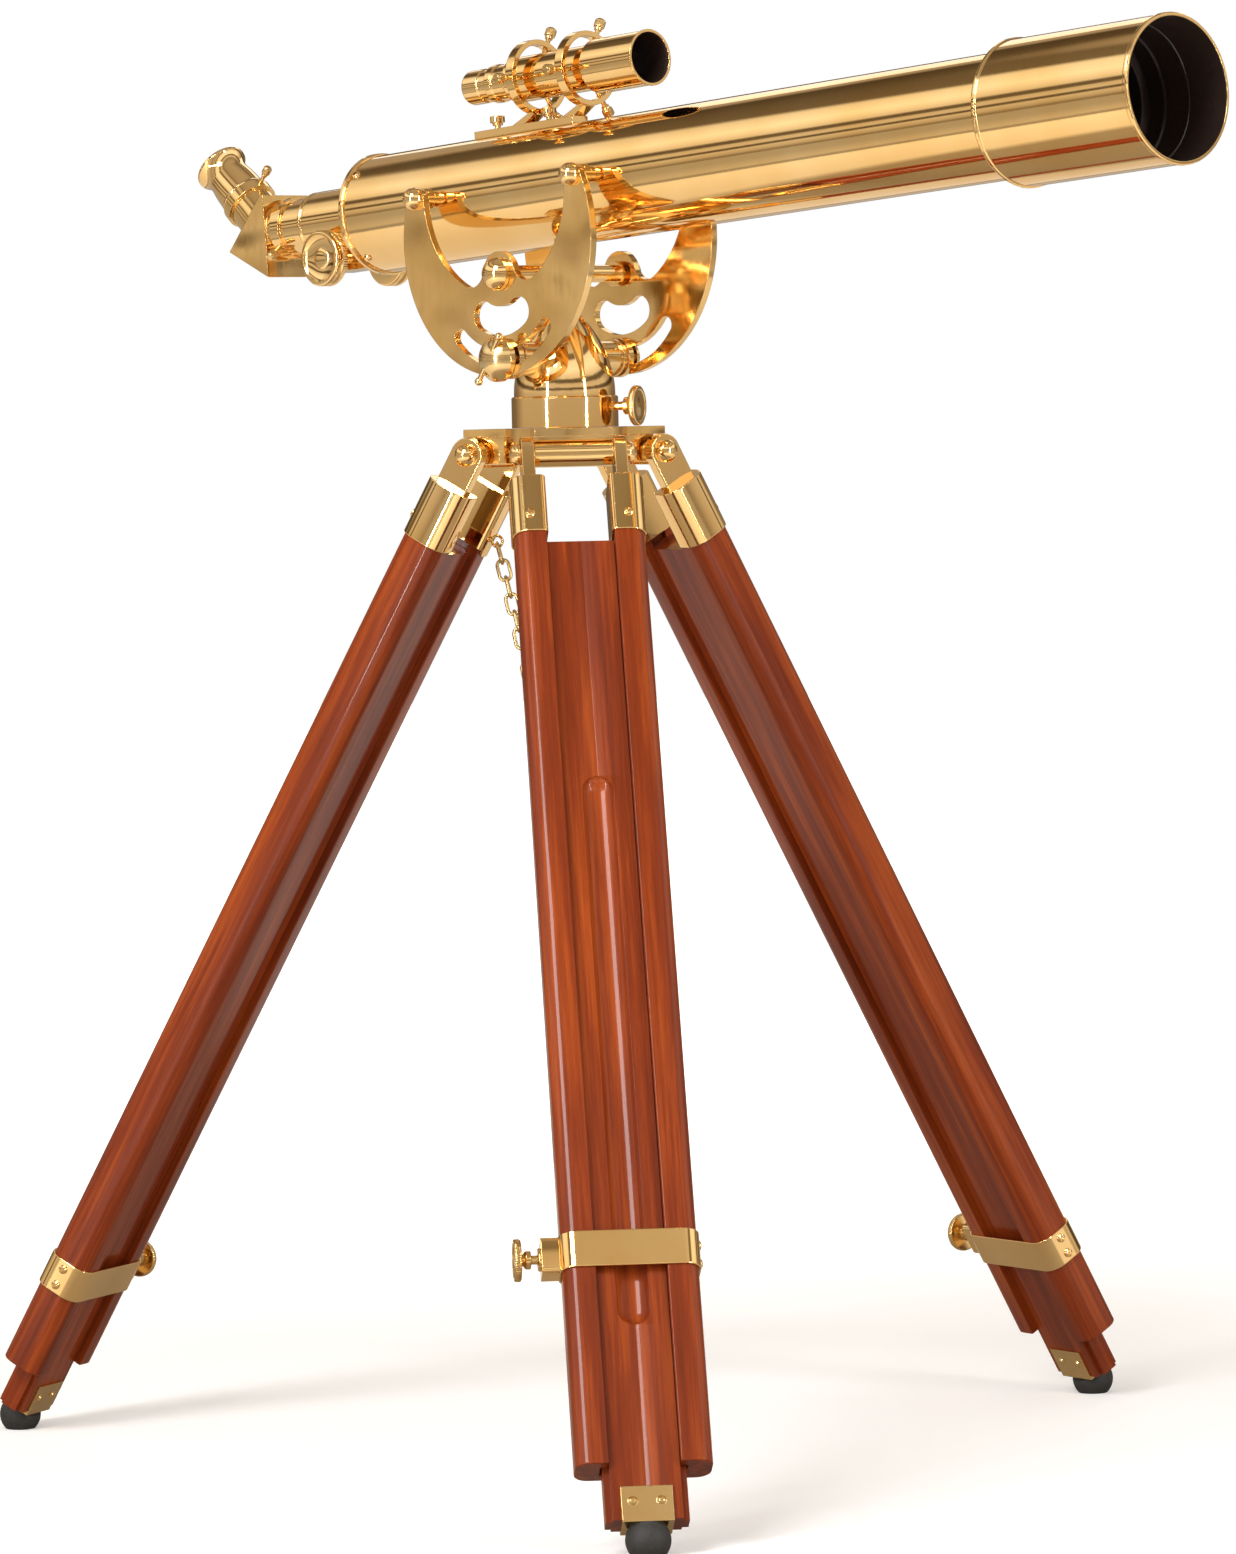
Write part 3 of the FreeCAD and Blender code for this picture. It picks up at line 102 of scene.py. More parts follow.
PIVOT = Vector(JOINTS["altitude_tilt"]["pos_m"])
TUBE_X = -Vector(JOINTS["draw_slide"]["axis"])
TUBE_Y = -Vector(JOINTS["altitude_tilt"]["axis"])
TUBE_Z = TUBE_X.cross(TUBE_Y)
TUBE_LIFT = 65 * MM
TUBE = frame_from(PIVOT + TUBE_Z * TUBE_LIFT, TUBE_X, TUBE_Z)
TUBE_TURNED = along(PIVOT + TUBE_Z * TUBE_LIFT, TUBE_X)
FINDER_LIFT = 84 * MM
FINDER_TURNED = along(PIVOT + TUBE_Z * (TUBE_LIFT + FINDER_LIFT), TUBE_X)
LEG_NAMES = ("front", "right", "left")


def leg_frame(name):
    fold = JOINTS["leg_%s_fold" % name]
    extend = JOINTS["leg_%s_extend" % name]
    return frame_from(fold["pos_m"], fold["axis"], -Vector(extend["axis"]))


LEGS = {name: leg_frame(name) for name in LEG_NAMES}


# Materials ----------------------------------------------------------------------------------------

class Material:
    """A node material under construction."""

    def __init__(self, name):
        self.material = bpy.data.materials.new(name)
        self.material.use_nodes = True
        self.tree = self.material.node_tree
        self.shader = self.tree.nodes["Principled BSDF"]
        self.place = self.node("ShaderNodeTexCoord").outputs["Object"]

    def node(self, kind, **values):
        made = self.tree.nodes.new(kind)
        for name, number in values.items():
            made.inputs[name.replace("_", " ")].default_value = number
        return made

    def link(self, source, target):
        self.tree.links.new(source, target)

    def set(self, **values):
        for name, number in values.items():
            self.shader.inputs[name.replace("_", " ")].default_value = number

    def noise(self, place, scale, detail=3.0, roughness=0.5):
        made = self.node("ShaderNodeTexNoise", Scale=scale, Detail=detail, Roughness=roughness)
        self.link(place, made.inputs["Vector"])
        return made.outputs["Fac"]

    def mapped(self, matrix=None, stretch=(1, 1, 1), offset=(0, 0, 0)):
        """Coordinates in a matrix's own frame, divided by stretch."""
        made = self.node("ShaderNodeMapping")
        made.vector_type = "TEXTURE"
        matrix = matrix or Matrix()
        made.inputs["Location"].default_value = matrix @ Vector(offset)
        made.inputs["Rotation"].default_value = matrix.to_euler()
        made.inputs["Scale"].default_value = stretch
        self.link(self.place, made.inputs["Vector"])
        return made.outputs["Vector"]

    def ramp(self, factor, stops):
        made = self.node("ShaderNodeValToRGB")
        elements = made.color_ramp.elements
        for index, (at, colour) in enumerate(stops):
            element = elements[index] if index < 2 else elements.new(at)
            element.position = at
            element.color = (*colour, 1)
        self.link(factor, made.inputs["Fac"])
        return made.outputs["Color"]

    def span(self, factor, low, high, at_low=0.3, at_high=0.7):
        """A number from low to high as the factor goes from at_low to at_high."""
        made = self.node("ShaderNodeMapRange")
        for name, number in (
            ("From Min", at_low), ("From Max", at_high), ("To Min", low), ("To Max", high),
        ):
            made.inputs[name].default_value = number
        self.link(factor, made.inputs["Value"])
        return made.outputs["Result"]

    def bump(self, height, strength, distance, edge=0.0):
        """Fine relief; an edge width in millimetres also rounds the light over sharp edges."""
        made = self.node("ShaderNodeBump", Strength=strength, Distance=distance)
        self.link(height, made.inputs["Height"])
        if edge:
            rounded = self.node("ShaderNodeBevel", Radius=edge * MM)
            rounded.samples = 6
            self.link(rounded.outputs["Normal"], made.inputs["Normal"])
        self.link(made.outputs["Normal"], self.shader.inputs["Normal"])


def brass(name, pale, deep, smooth, rough, waves=0.0):
    """Polished, lacquered brass: two close golds, clouded gloss and fine handling marks.

    Waves above zero give a plate the slow unevenness that hand polishing leaves.
    """
    made = Material(name)
    made.set(Metallic=1.0)
    clouds = made.noise(made.place, 14, 4)
    colour = made.ramp(clouds, ((0.32, deep), (0.68, pale)))
    made.link(colour, made.shader.inputs["Base Color"])
    marks = made.noise(made.mapped(stretch=(1, 1, 4)), 190, 5, 0.65)
    made.link(made.span(marks, smooth, rough), made.shader.inputs["Roughness"])
    fine = made.noise(made.place, 900, 2)
    made.bump(fine, 0.02, 0.0002, 0.7)
    if waves:
        slow = made.noise(made.place, 16, 1, 0.3)
        swell = made.node("ShaderNodeBump", Strength=waves, Distance=0.004)
        made.link(slow, swell.inputs["Height"])
        made.link(made.shader.inputs["Normal"].links[0].from_socket, swell.inputs["Normal"])
        made.link(swell.outputs["Normal"], made.shader.inputs["Normal"])
    return made.material


def mahogany(name, matrix, offset):
    """Varnished mahogany with its grain down the leg."""
    made = Material(name)
    wide = made.noise(made.mapped(matrix, (1, 1, 18), offset), 70, 4, 0.6)
    streaks = made.noise(made.mapped(matrix, (1, 1, 40), offset), 330, 6, 0.7)
    mixed = made.node("ShaderNodeMath")
    mixed.operation = "MULTIPLY_ADD"
    mixed.inputs[1].default_value = 0.55
    made.link(streaks, mixed.inputs[0])
    halved = made.span(wide, 0.0, 0.5, 0.2, 0.8)
    made.link(halved, mixed.inputs[2])
    colour = made.ramp(
        mixed.outputs["Value"],
        (
            (0.18, (0.062, 0.009, 0.003)),
            (0.86, (0.42, 0.080, 0.010)),
            (0.50, (0.185, 0.027, 0.005)),
        ),
    )
    made.link(colour, made.shader.inputs["Base Color"])
    pores = made.noise(made.mapped(matrix, (1, 1, 26), offset), 1300, 3, 0.6)
    made.link(made.span(pores, 0.28, 0.42), made.shader.inputs["Roughness"])
    made.bump(pores, 0.06, 0.0003)
    made.set(Coat_Weight=0.5, Coat_Roughness=0.06, Coat_IOR=1.4, Specular_IOR_Level=0.1)
    return made.material


def rubber():
    made = Material("rubber_black")
    grain = made.noise(made.place, 420, 5, 0.7)
    colour = made.ramp(grain, ((0.3, (0.012, 0.011, 0.010)), (0.7, (0.035, 0.032, 0.030))))
    made.link(colour, made.shader.inputs["Base Color"])
    made.link(made.span(grain, 0.55, 0.75), made.shader.inputs["Roughness"])
    made.bump(grain, 0.3, 0.0004)
    return made.material


def blackened():
    """Matt black paint inside the hoods."""
    made = Material("black_paint")
    grain = made.noise(made.place, 700, 4, 0.6)
    colour = made.ramp(grain, ((0.3, (0.016, 0.009, 0.007)), (0.7, (0.040, 0.022, 0.017))))
    made.link(colour, made.shader.inputs["Base Color"])
    made.link(made.span(grain, 0.34, 0.5), made.shader.inputs["Roughness"])
    made.bump(grain, 0.15, 0.0002)
    return made.material


def coated_glass():
    """A dark lens front: what shows is its coating over the dark tube behind."""
    made = Material("coated_lens")
    haze = made.noise(made.place, 30, 3)
    colour = made.ramp(haze, ((0.3, (0.012, 0.016, 0.030)), (0.7, (0.020, 0.026, 0.046))))
    made.link(colour, made.shader.inputs["Base Color"])
    made.link(made.span(haze, 0.02, 0.05), made.shader.inputs["Roughness"])
    made.set(Coat_Weight=1.0, Coat_Roughness=0.02, Coat_IOR=1.7)
    return made.material


GOLD = brass("brass_polished", (0.96, 0.67, 0.31), (0.90, 0.58, 0.22), 0.035, 0.08)
PLATES = brass("brass_plates", (0.94, 0.65, 0.29), (0.82, 0.53, 0.19), 0.06, 0.16, 0.9)
GOLD_DARK = brass("brass_clamps", (0.86, 0.61, 0.28), (0.74, 0.49, 0.19), 0.12, 0.22)
GOLD_OLD = brass("brass_chain", (0.70, 0.52, 0.24), (0.50, 0.35, 0.14), 0.2, 0.34)
BLACK = blackened()
RUBBER = rubber()
LENS = coated_glass()
RAIL_WOOD = {
    name: mahogany("mahogany_rails_%s" % name, LEGS[name], (0.3 * place, 0.1, 0.2))
    for place, name in enumerate(LEG_NAMES)
}
BOARD_WOOD = {
    name: mahogany("mahogany_board_%s" % name, LEGS[name], (0.9 + 0.3 * place, 0.4, 0.7))
    for place, name in enumerate(LEG_NAMES)
}


def node_material(name):
    for leg in LEG_NAMES:
        if name == "leg_%s_rails" % leg:
            return RAIL_WOOD[leg]
        if name == "leg_%s_board" % leg:
            return BOARD_WOOD[leg]
    if name.endswith("_foot"):
        return RUBBER
    if name.endswith("_lens"):
        return LENS
    if name == "leg_chain":
        return GOLD_OLD
    if name.startswith("crescent") or name in ("tripod_head", "diagonal"):
        return PLATES
    if "band" in name or "clamp" in name or "ferrules" in name or "bracket" in name:
        return GOLD_DARK
    return GOLD


for node_name, node in NODES.items():
    node.data.materials.clear()
    node.data.materials.append(node_material(node_name))


# Piece builders ------------------------------------------------------------------------------------

SHARP_ANGLE = math.radians(32)


def add_piece(name, mesh, matrix, material, body, *replaced):
    """Puts a mesh in place as a piece of one body."""
    mesh.transform(matrix)
    for polygon in mesh.polygons:
        polygon.use_smooth = True
    mesh.set_sharp_from_angle(angle=SHARP_ANGLE)
    mesh.materials.append(material)
    piece = bpy.data.objects.new(name, mesh)
    SCENE.collection.objects.link(piece)
    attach(piece, body)
    if replaced:
        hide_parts(*replaced)
    return piece


def mesh_from(build, name):
    work = bmesh.new()
    build(work)
    bmesh.ops.recalc_face_normals(work, faces=work.faces)
    mesh = bpy.data.meshes.new(name)
    work.to_mesh(mesh)
    work.free()
    return mesh


def add_turned(work, profile, segments, ridge_depth=0.0, matrix=None):
    """A closed surface turned about Z from (radius, height[, ridged]) points, in millimetres."""
    matrix = matrix or Matrix()
    rings = []
    for point in profile:
        radius, height = point[0], point[1]
        ridged = len(point) > 2
        if radius == 0:
            rings.append([work.verts.new(matrix @ Vector((0, 0, height * MM)))])
            continue
        ring = []
        for step in range(segments):
            turn = 2 * math.pi * step / segments
            reach = radius - (ridge_depth if ridged and step % 2 else 0)
            spot = Vector((reach * math.cos(turn), reach * math.sin(turn), height)) * MM
            ring.append(work.verts.new(matrix @ spot))
        rings.append(ring)
    closed = len(rings[0]) > 1
    pairs = list(zip(rings, rings[1:] + rings[:1])) if closed else list(zip(rings, rings[1:]))
    for low, high in pairs:
        for step in range(segments):
            after = (step + 1) % segments
            if len(low) == 1:
                work.faces.new((low[0], high[step], high[after]))
            elif len(high) == 1:
                work.faces.new((low[step], low[after], high[0]))
            else:
                work.faces.new((low[step], low[after], high[after], high[step]))


def turned(name, matrix, profile, material, body, replaced=(), segments=96, ridge_depth=0.0):
    mesh = mesh_from(lambda work: add_turned(work, profile, segments, ridge_depth), name)
    return add_piece(name, mesh, matrix, material, body, *replaced)


def rounded_corner(centre, radius, start, end, steps=8):
    """Points of an arc between two angles in degrees, ends included."""
    points = []
    for step in range(steps + 1):
        turn = math.radians(start + (end - start) * step / steps)
        points.append((centre[0] + radius * math.cos(turn), centre[1] + radius * math.sin(turn)))
    return points


def bridge(work, near, far):
    """Faces between two loops with the same number of points."""
    count = len(near)
    for step in range(count):
        after = (step + 1) % count
        work.faces.new((near[step], near[after], far[after], far[step]))


def add_loft(work, rows):
    """A closed solid through loops with the same number of points, in millimetres."""
    loops = [[work.verts.new(Vector(spot) * MM) for spot in row] for row in rows]
    work.faces.new(loops[0])
    work.faces.new(loops[-1])
    for near, far in zip(loops, loops[1:]):
        bridge(work, near, far)


def add_extruded(work, outline, low, high):
    """A closed prism from an (x, y) outline in millimetres, between two heights."""
    add_loft(work, [[(x, y, height) for x, y in outline] for height in (low, high)])


def add_bored_plate(work, outline, hole, ends):
    """A plate across X with a hole through it, from (y, z) outlines and its two x ends."""
    faces = []
    for x in ends:
        loops = [
            [work.verts.new(Vector((x, y, z)) * MM) for y, z in loop] for loop in (outline, hole)
        ]
        edges = []
        for loop in loops:
            edges += [work.edges.new((one, two)) for one, two in zip(loop, loop[1:] + loop[:1])]
        bmesh.ops.triangle_fill(work, edges=edges, use_beauty=True)
        faces.append(loops)
    for near, far in zip(*faces):
        bridge(work, near, far)


def soften(piece, width, segments=2):
    """Breaks a piece's sharp edges, as sanding or polishing does."""
    bevel = piece.modifiers.new("edge", "BEVEL")
    bevel.width = width * MM
    bevel.segments = segments
    bevel.limit_method = "ANGLE"
    bevel.angle_limit = SHARP_ANGLE
    bevel.harden_normals = True
    return piece


# Knurled and fluted screws --------------------------------------------------------------------------

def axis_frame(joint, back=0.0):
    """A matrix with Z along a joint's axis, its origin moved back along it, in millimetres."""
    axis = Vector(JOINTS[joint]["axis"]).normalized()
    return along(Vector(JOINTS[joint]["pos_m"]) - axis * back * MM, axis)


def adjusting_screw_profile(head, length, shank, start, shank_end):
    """A small screw with a stepped, knurled drum head."""
    return [
        (0, start), (shank - 0.5, start), (shank, start + 0.6), (shank, shank_end),
        (head * 0.62, shank_end), (head * 0.7, shank_end + 0.4),
        (head * 0.7, shank_end + length * 0.2),
        (head * 0.78, shank_end + length * 0.26),
        (head - 0.5, shank_end + length * 0.28),
        (head, shank_end + length * 0.34, True),
        (head, shank_end + length * 0.84, True),
        (head - 0.6, shank_end + length * 0.92),
        (head * 0.72, shank_end + length * 0.985),
        (head * 0.35, shank_end + length),
        (0, shank_end + length),
    ]


# each screw's head radius, head length, shank radius, and where its shank starts and ends
AIMING_SCREW = (4.2, 9.5, 1.8, 17.35, 32.35)
DIAGONAL_SCREW = (3.6, 9, 1.6, 16.1, 28.1)
EYEPIECE_SCREW = (3.4, 9, 1.6, 16.1, 27.1)
# how far out along its screw each joint's point is
AIMING_JOINT, DIAGONAL_JOINT, EYEPIECE_JOINT = 30, 22, 25
BAND_JOINT, AZIMUTH_JOINT = 60, 45
BAND_SHANK, AZIMUTH_SHANK = (29.5, 68.9), (22, 48)


def make_adjusting_screws():
    for ring in ("rear", "front"):
        for where in ("upper", "left", "lower"):
            node = "finder_screw_%s_%s" % (ring, where)
            profile = adjusting_screw_profile(*AIMING_SCREW)
            frame_here = axis_frame(node + "_turn", AIMING_JOINT)
            turned(node + "_knurled", frame_here, profile, GOLD_DARK, node, (node,), 56, 0.28)
    profile = adjusting_screw_profile(*DIAGONAL_SCREW)
    frame_here = axis_frame("diagonal_screw_turn", DIAGONAL_JOINT)
    turned(
        "diagonal_screw_knurled", frame_here, profile, GOLD_DARK, "diagonal_screw",
        ("diagonal_screw",), 48, 0.25,
    )
    profile = adjusting_screw_profile(*EYEPIECE_SCREW)
    frame_here = axis_frame("eyepiece_screw_turn", EYEPIECE_JOINT)
    turned(
        "eyepiece_screw_knurled", frame_here, profile, GOLD_DARK, "eyepiece_screw",
        ("eyepiece_screw",), 48, 0.25,
    )


def thumbscrew_profile(start, shank_end):
    """A shank, a waisted neck and a disc with a milled rim and a dished face."""
    neck, disc, shank = 6.5, 15.0, 3.2
    neck_end = shank_end + 7
    face = neck_end + 5
    return [
        (0, start), (shank - 0.6, start), (shank, start + 0.8), (shank, shank_end),
        (neck - 0.5, shank_end), (neck, shank_end + 0.5), (neck, shank_end + 3.4),
        (neck - 0.6, shank_end + 4.2), (4.4, shank_end + 5.2), (4.2, shank_end + 6.2),
        (5.4, neck_end), (disc - 1.2, neck_end), (disc - 0.4, neck_end + 0.4, True),
        (disc, neck_end + 1.1, True), (disc, face - 1.1, True), (disc - 0.4, face - 0.4, True),
        (disc - 1.2, face), (disc - 2.6, face), (disc - 3.4, face - 0.7), (4.5, face - 0.9),
        (3.4, face - 0.5), (0, face - 0.5),
    ]


def make_thumbscrews():
    for name in LEG_NAMES:
        node = "leg_%s_band_screw" % name
        frame_here = axis_frame("leg_%s_clamp_turn" % name, BAND_JOINT)
        turned(
            node + "_milled", frame_here, thumbscrew_profile(*BAND_SHANK), GOLD_DARK,
            "leg_%s_clamp" % name, (node,), 112, 0.35,
        )
    frame_here = axis_frame("azimuth_clamp_turn", AZIMUTH_JOINT)
    turned(
        "azimuth_clamp_milled", frame_here, thumbscrew_profile(*AZIMUTH_SHANK), GOLD_DARK,
        "azimuth_clamp", ("azimuth_clamp",), 112, 0.35,
    )


# Wooden legs ----------------------------------------------------------------------------------------

RAIL_OUTER, RAIL_INNER, RAIL_HALF_DEPTH, RAIL_ROUND = 48.0, 25.0, 17.0, 11.0
RAIL_TOP, RAIL_END = -30.0, -806.0
GROOVE_HALF, GROOVE_FLOOR = 7.0, 30.0
BOARD_HALF, BOARD_HALF_DEPTH = 24.6, 11.0
BOARD_TOP, BOARD_END = -80.0, -846.0
TONGUE_HALF, TONGUE_REACH = 6.7, 29.1
FLUTE_HALF, FLUTE_DEEP = 11.5, 6.3
FLUTE_TOP, FLUTE_END = -285.0, -690.0


def rail_outline(side):
    """A rail's section: round outside, square inside, with a groove for the board's tongue."""
    core = RAIL_OUTER - RAIL_ROUND
    depth = RAIL_HALF_DEPTH - RAIL_ROUND
    points = (
        rounded_corner((core, -depth), RAIL_ROUND, -90, 0)
        + rounded_corner((core, depth), RAIL_ROUND, 0, 90)
        + [
            (RAIL_INNER, RAIL_HALF_DEPTH), (RAIL_INNER, GROOVE_HALF), (GROOVE_FLOOR, GROOVE_HALF),
            (GROOVE_FLOOR, -GROOVE_HALF), (RAIL_INNER, -GROOVE_HALF), (RAIL_INNER, -RAIL_HALF_DEPTH),
        ]
    )
    return [(side * x, y) for x, y in points]


def make_rails():
    for name in LEG_NAMES:
        for side, side_name in ((-1, "a"), (1, "b")):
            mesh = mesh_from(
                lambda work: add_extruded(work, rail_outline(side), RAIL_END, RAIL_TOP),
                "rail",
            )
            piece = add_piece(
                "leg_%s_rail_%s" % (name, side_name), mesh, LEGS[name], RAIL_WOOD[name],
                "leg_" + name,
            )
            soften(piece, 1.0, 3)
            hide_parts("leg_%s_rails" % name)


# Brass fittings of the legs ---------------------------------------------------------------------------

FERRULE_WALL, FERRULE_TOP, FERRULE_END = 1.6, -27.0, -74.0
STRAP_MIDDLE, STRAP_HALF_THICK, STRAP_HALF = 34.5, 4.8, 13.0
PIN_HOLE = 5.05
BAND_WALL, BAND_HALF_HEIGHT = 1.8, 13.5
KNOB_SIDE = {"front": -1, "right": 1, "left": -1}
BAND_MIDDLE = {"front": -646.0, "right": -724.0, "left": -724.0}
LUG_START, LUG_END, LUG_HALF_DEPTH = 48.9, 61.9, 10.0
LUG_BORE, LUG_ROUND = 3.5, 3.5
HEAD_RADIUS, HEAD_HEIGHT = 3.6, 1.9


def rounded_box(low, high, radii):
    """An outline round a rectangle; radii go from its lower right corner anticlockwise."""
    corners = (
        ((high[0], low[1]), -90, (-1, 1)), ((high[0], high[1]), 0, (-1, -1)),
        ((low[0], high[1]), 90, (1, -1)), ((low[0], low[1]), 180, (1, 1)),
    )
    points = []
    for (corner, start, inward), radius in zip(corners, radii):
        centre = (corner[0] + inward[0] * radius, corner[1] + inward[1] * radius)
        points += rounded_corner(centre, radius, start, start + 90)
    return points


def add_cup(work, outer, inner, low, high, roof):
    """A tube between two outlines, closed at its top when it has a roof."""
    rows = [
        [work.verts.new(Vector((x, y, height)) * MM) for x, y in outline]
        for outline, height in (
            (inner, high - roof), (inner, low), (outer, low), (outer, high),
        )
    ]
    for near, far in list(zip(rows, rows[1:])) + ([] if roof else [(rows[-1], rows[0])]):
        bridge(work, near, far)
    if roof:
        work.faces.new(rows[0])
        work.faces.new(rows[-1])


def add_slotted_head(work, radius, height, matrix):
    """A domed screw head with its slot, sunk a little at its foot."""
    slot_half, slot_floor = 0.45, height * 0.45
    dome = [(0, -0.6), (radius, -0.6), (radius, 0.3)]
    dome += [
        (radius * math.cos(turn), 0.3 + (height - 0.3) * math.sin(turn))
        for turn in (math.radians(18 * step) for step in range(1, 5))
    ]
    dome.append((0, height))
    for side in (1, -1):
        half = bmesh.new()
        add_turned(half, dome, 40)
        cut = bmesh.ops.bisect_plane(
            half, geom=half.verts[:] + half.edges[:] + half.faces[:],
            plane_co=(0, side * slot_half * MM, 0), plane_no=(0, side, 0), clear_inner=True,
        )
        rim = [item for item in cut["geom_cut"] if isinstance(item, bmesh.types.BMEdge)]
        bmesh.ops.edgenet_fill(half, edges=rim)
        half.transform(matrix)
        kept = bpy.data.meshes.new("half_head")
        half.to_mesh(kept)
        half.free()
        work.from_mesh(kept)
        bpy.data.meshes.remove(kept)
    foot = radius * 0.97
    add_turned(work, [(0, -0.6), (foot, -0.6), (foot, slot_floor), (0, slot_floor)], 40, 0.0, matrix)


def head_frame(place, normal, slot_turn):
    """A matrix in millimetre places with Z out of a face and the slot turned about it."""
    turn = Vector(normal).to_track_quat("Z", "Y").to_matrix().to_4x4()
    return Matrix.Translation(Vector(place) * MM) @ turn @ Matrix.Rotation(slot_turn, 4, "Z")


def add_heads(name, leg, body, spots):
    """One piece with a slotted head at every (place, normal, slot turn)."""
    def build(work):
        for place, normal, slot_turn in spots:
            add_slotted_head(work, HEAD_RADIUS, HEAD_HEIGHT, head_frame(place, normal, slot_turn))
    return add_piece(name, mesh_from(build, name), LEGS[leg], GOLD, body)


def ferrule_outlines(side):
    """The outer and inner outlines of the sleeve over one rail's top."""
    outer_face, inner_face = RAIL_OUTER + FERRULE_WALL, RAIL_INNER - FERRULE_WALL
    depth = RAIL_HALF_DEPTH + FERRULE_WALL
    outer = rounded_box((inner_face, -depth), (outer_face, depth), (12.6, 12.6, 4.6, 4.6))
    inner = rounded_box(
        (RAIL_INNER, -RAIL_HALF_DEPTH), (RAIL_OUTER, RAIL_HALF_DEPTH), (11, 11, 3, 3),
    )
    return [[(side * x, y) for x, y in outline] for outline in (outer, inner)]


def add_strap(work, side):
    """The tongue from a ferrule's top to the hinge pin, with a round eye."""
    foot = FERRULE_TOP - 1.5
    outline = [(-STRAP_HALF, foot), (STRAP_HALF, foot)]
    outline += rounded_corner((0, 0), STRAP_HALF, 0, 180, 24)
    hole = rounded_corner((0, 0), PIN_HOLE, 0, 360, 32)[:-1]
    ends = [side * (STRAP_MIDDLE + half) for half in (-STRAP_HALF_THICK, STRAP_HALF_THICK)]
    add_bored_plate(work, outline, hole, ends)


def add_lug(work, side, middle):
    """The block on a band's end that its thumbscrew goes through."""
    outline = rounded_box(
        (-LUG_HALF_DEPTH, middle - BAND_HALF_HEIGHT), (LUG_HALF_DEPTH, middle + BAND_HALF_HEIGHT),
        (LUG_ROUND,) * 4,
    )
    bore = rounded_corner((0, middle), LUG_BORE, -90, 270, 35)[:-1]
    add_bored_plate(work, outline, bore, [side * LUG_START, side * LUG_END])


def add_eye_plate(work, side):
    """The small plate on a ferrule's inner face, and its screw-eye."""
    middle, face = side * 30.5, RAIL_HALF_DEPTH + FERRULE_WALL
    outline = rounded_box((middle - 5, -78), (middle + 5, -62), (1.5,) * 4)
    rows = [[(x, depth, z) for x, z in outline] for depth in (face - 0.5, face + 1.6)]
    add_loft(work, rows)
    ring, wire = 4.2, 1.1
    turns, around = 40, 12
    loops = []
    for step in range(turns):
        turn = 2 * math.pi * step / turns
        loop = []
        for part in range(around):
            lean = 2 * math.pi * part / around
            reach = ring + wire * math.cos(lean)
            spot = Vector((
                middle + wire * math.sin(lean),
                face + 6.2 + reach * math.cos(turn),
                -62 + reach * math.sin(turn),
            ))
            loop.append(work.verts.new(spot * MM))
        loops.append(loop)
    for near, far in zip(loops, loops[1:] + loops[:1]):
        bridge(work, near, far)


def make_ferrules():
    for name in LEG_NAMES:
        node, body = "leg_%s_ferrules" % name, "leg_" + name
        pieces = []
        for side, side_name in ((-1, "a"), (1, "b")):
            outer, inner = ferrule_outlines(side)
            mesh = mesh_from(
                lambda work: add_cup(work, outer, inner, FERRULE_END, FERRULE_TOP, 3.0), "ferrule",
            )
            piece = add_piece("leg_%s_ferrule_%s" % (name, side_name), mesh, LEGS[name], GOLD, body)
            pieces.append(soften(piece, 0.7, 3))
            mesh = mesh_from(lambda work: add_strap(work, side), "strap")
            piece = add_piece("leg_%s_strap_%s" % (name, side_name), mesh, LEGS[name], GOLD, body)
            pieces.append(soften(piece, 1.0, 3))
        mesh = mesh_from(lambda work: add_eye_plate(work, KNOB_SIDE[name]), "eye_plate")
        pieces.append(add_piece("leg_%s_eye_plate" % name, mesh, LEGS[name], GOLD_DARK, body))
        face = RAIL_HALF_DEPTH + FERRULE_WALL
        spots = [((side * 36.5, -face, FERRULE_END + 14), (0, -1, 0), 0.5) for side in (-1, 1)]
        pieces.append(add_heads("leg_%s_ferrule_screws" % name, name, body, spots))
        for piece in pieces:
            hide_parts(node)


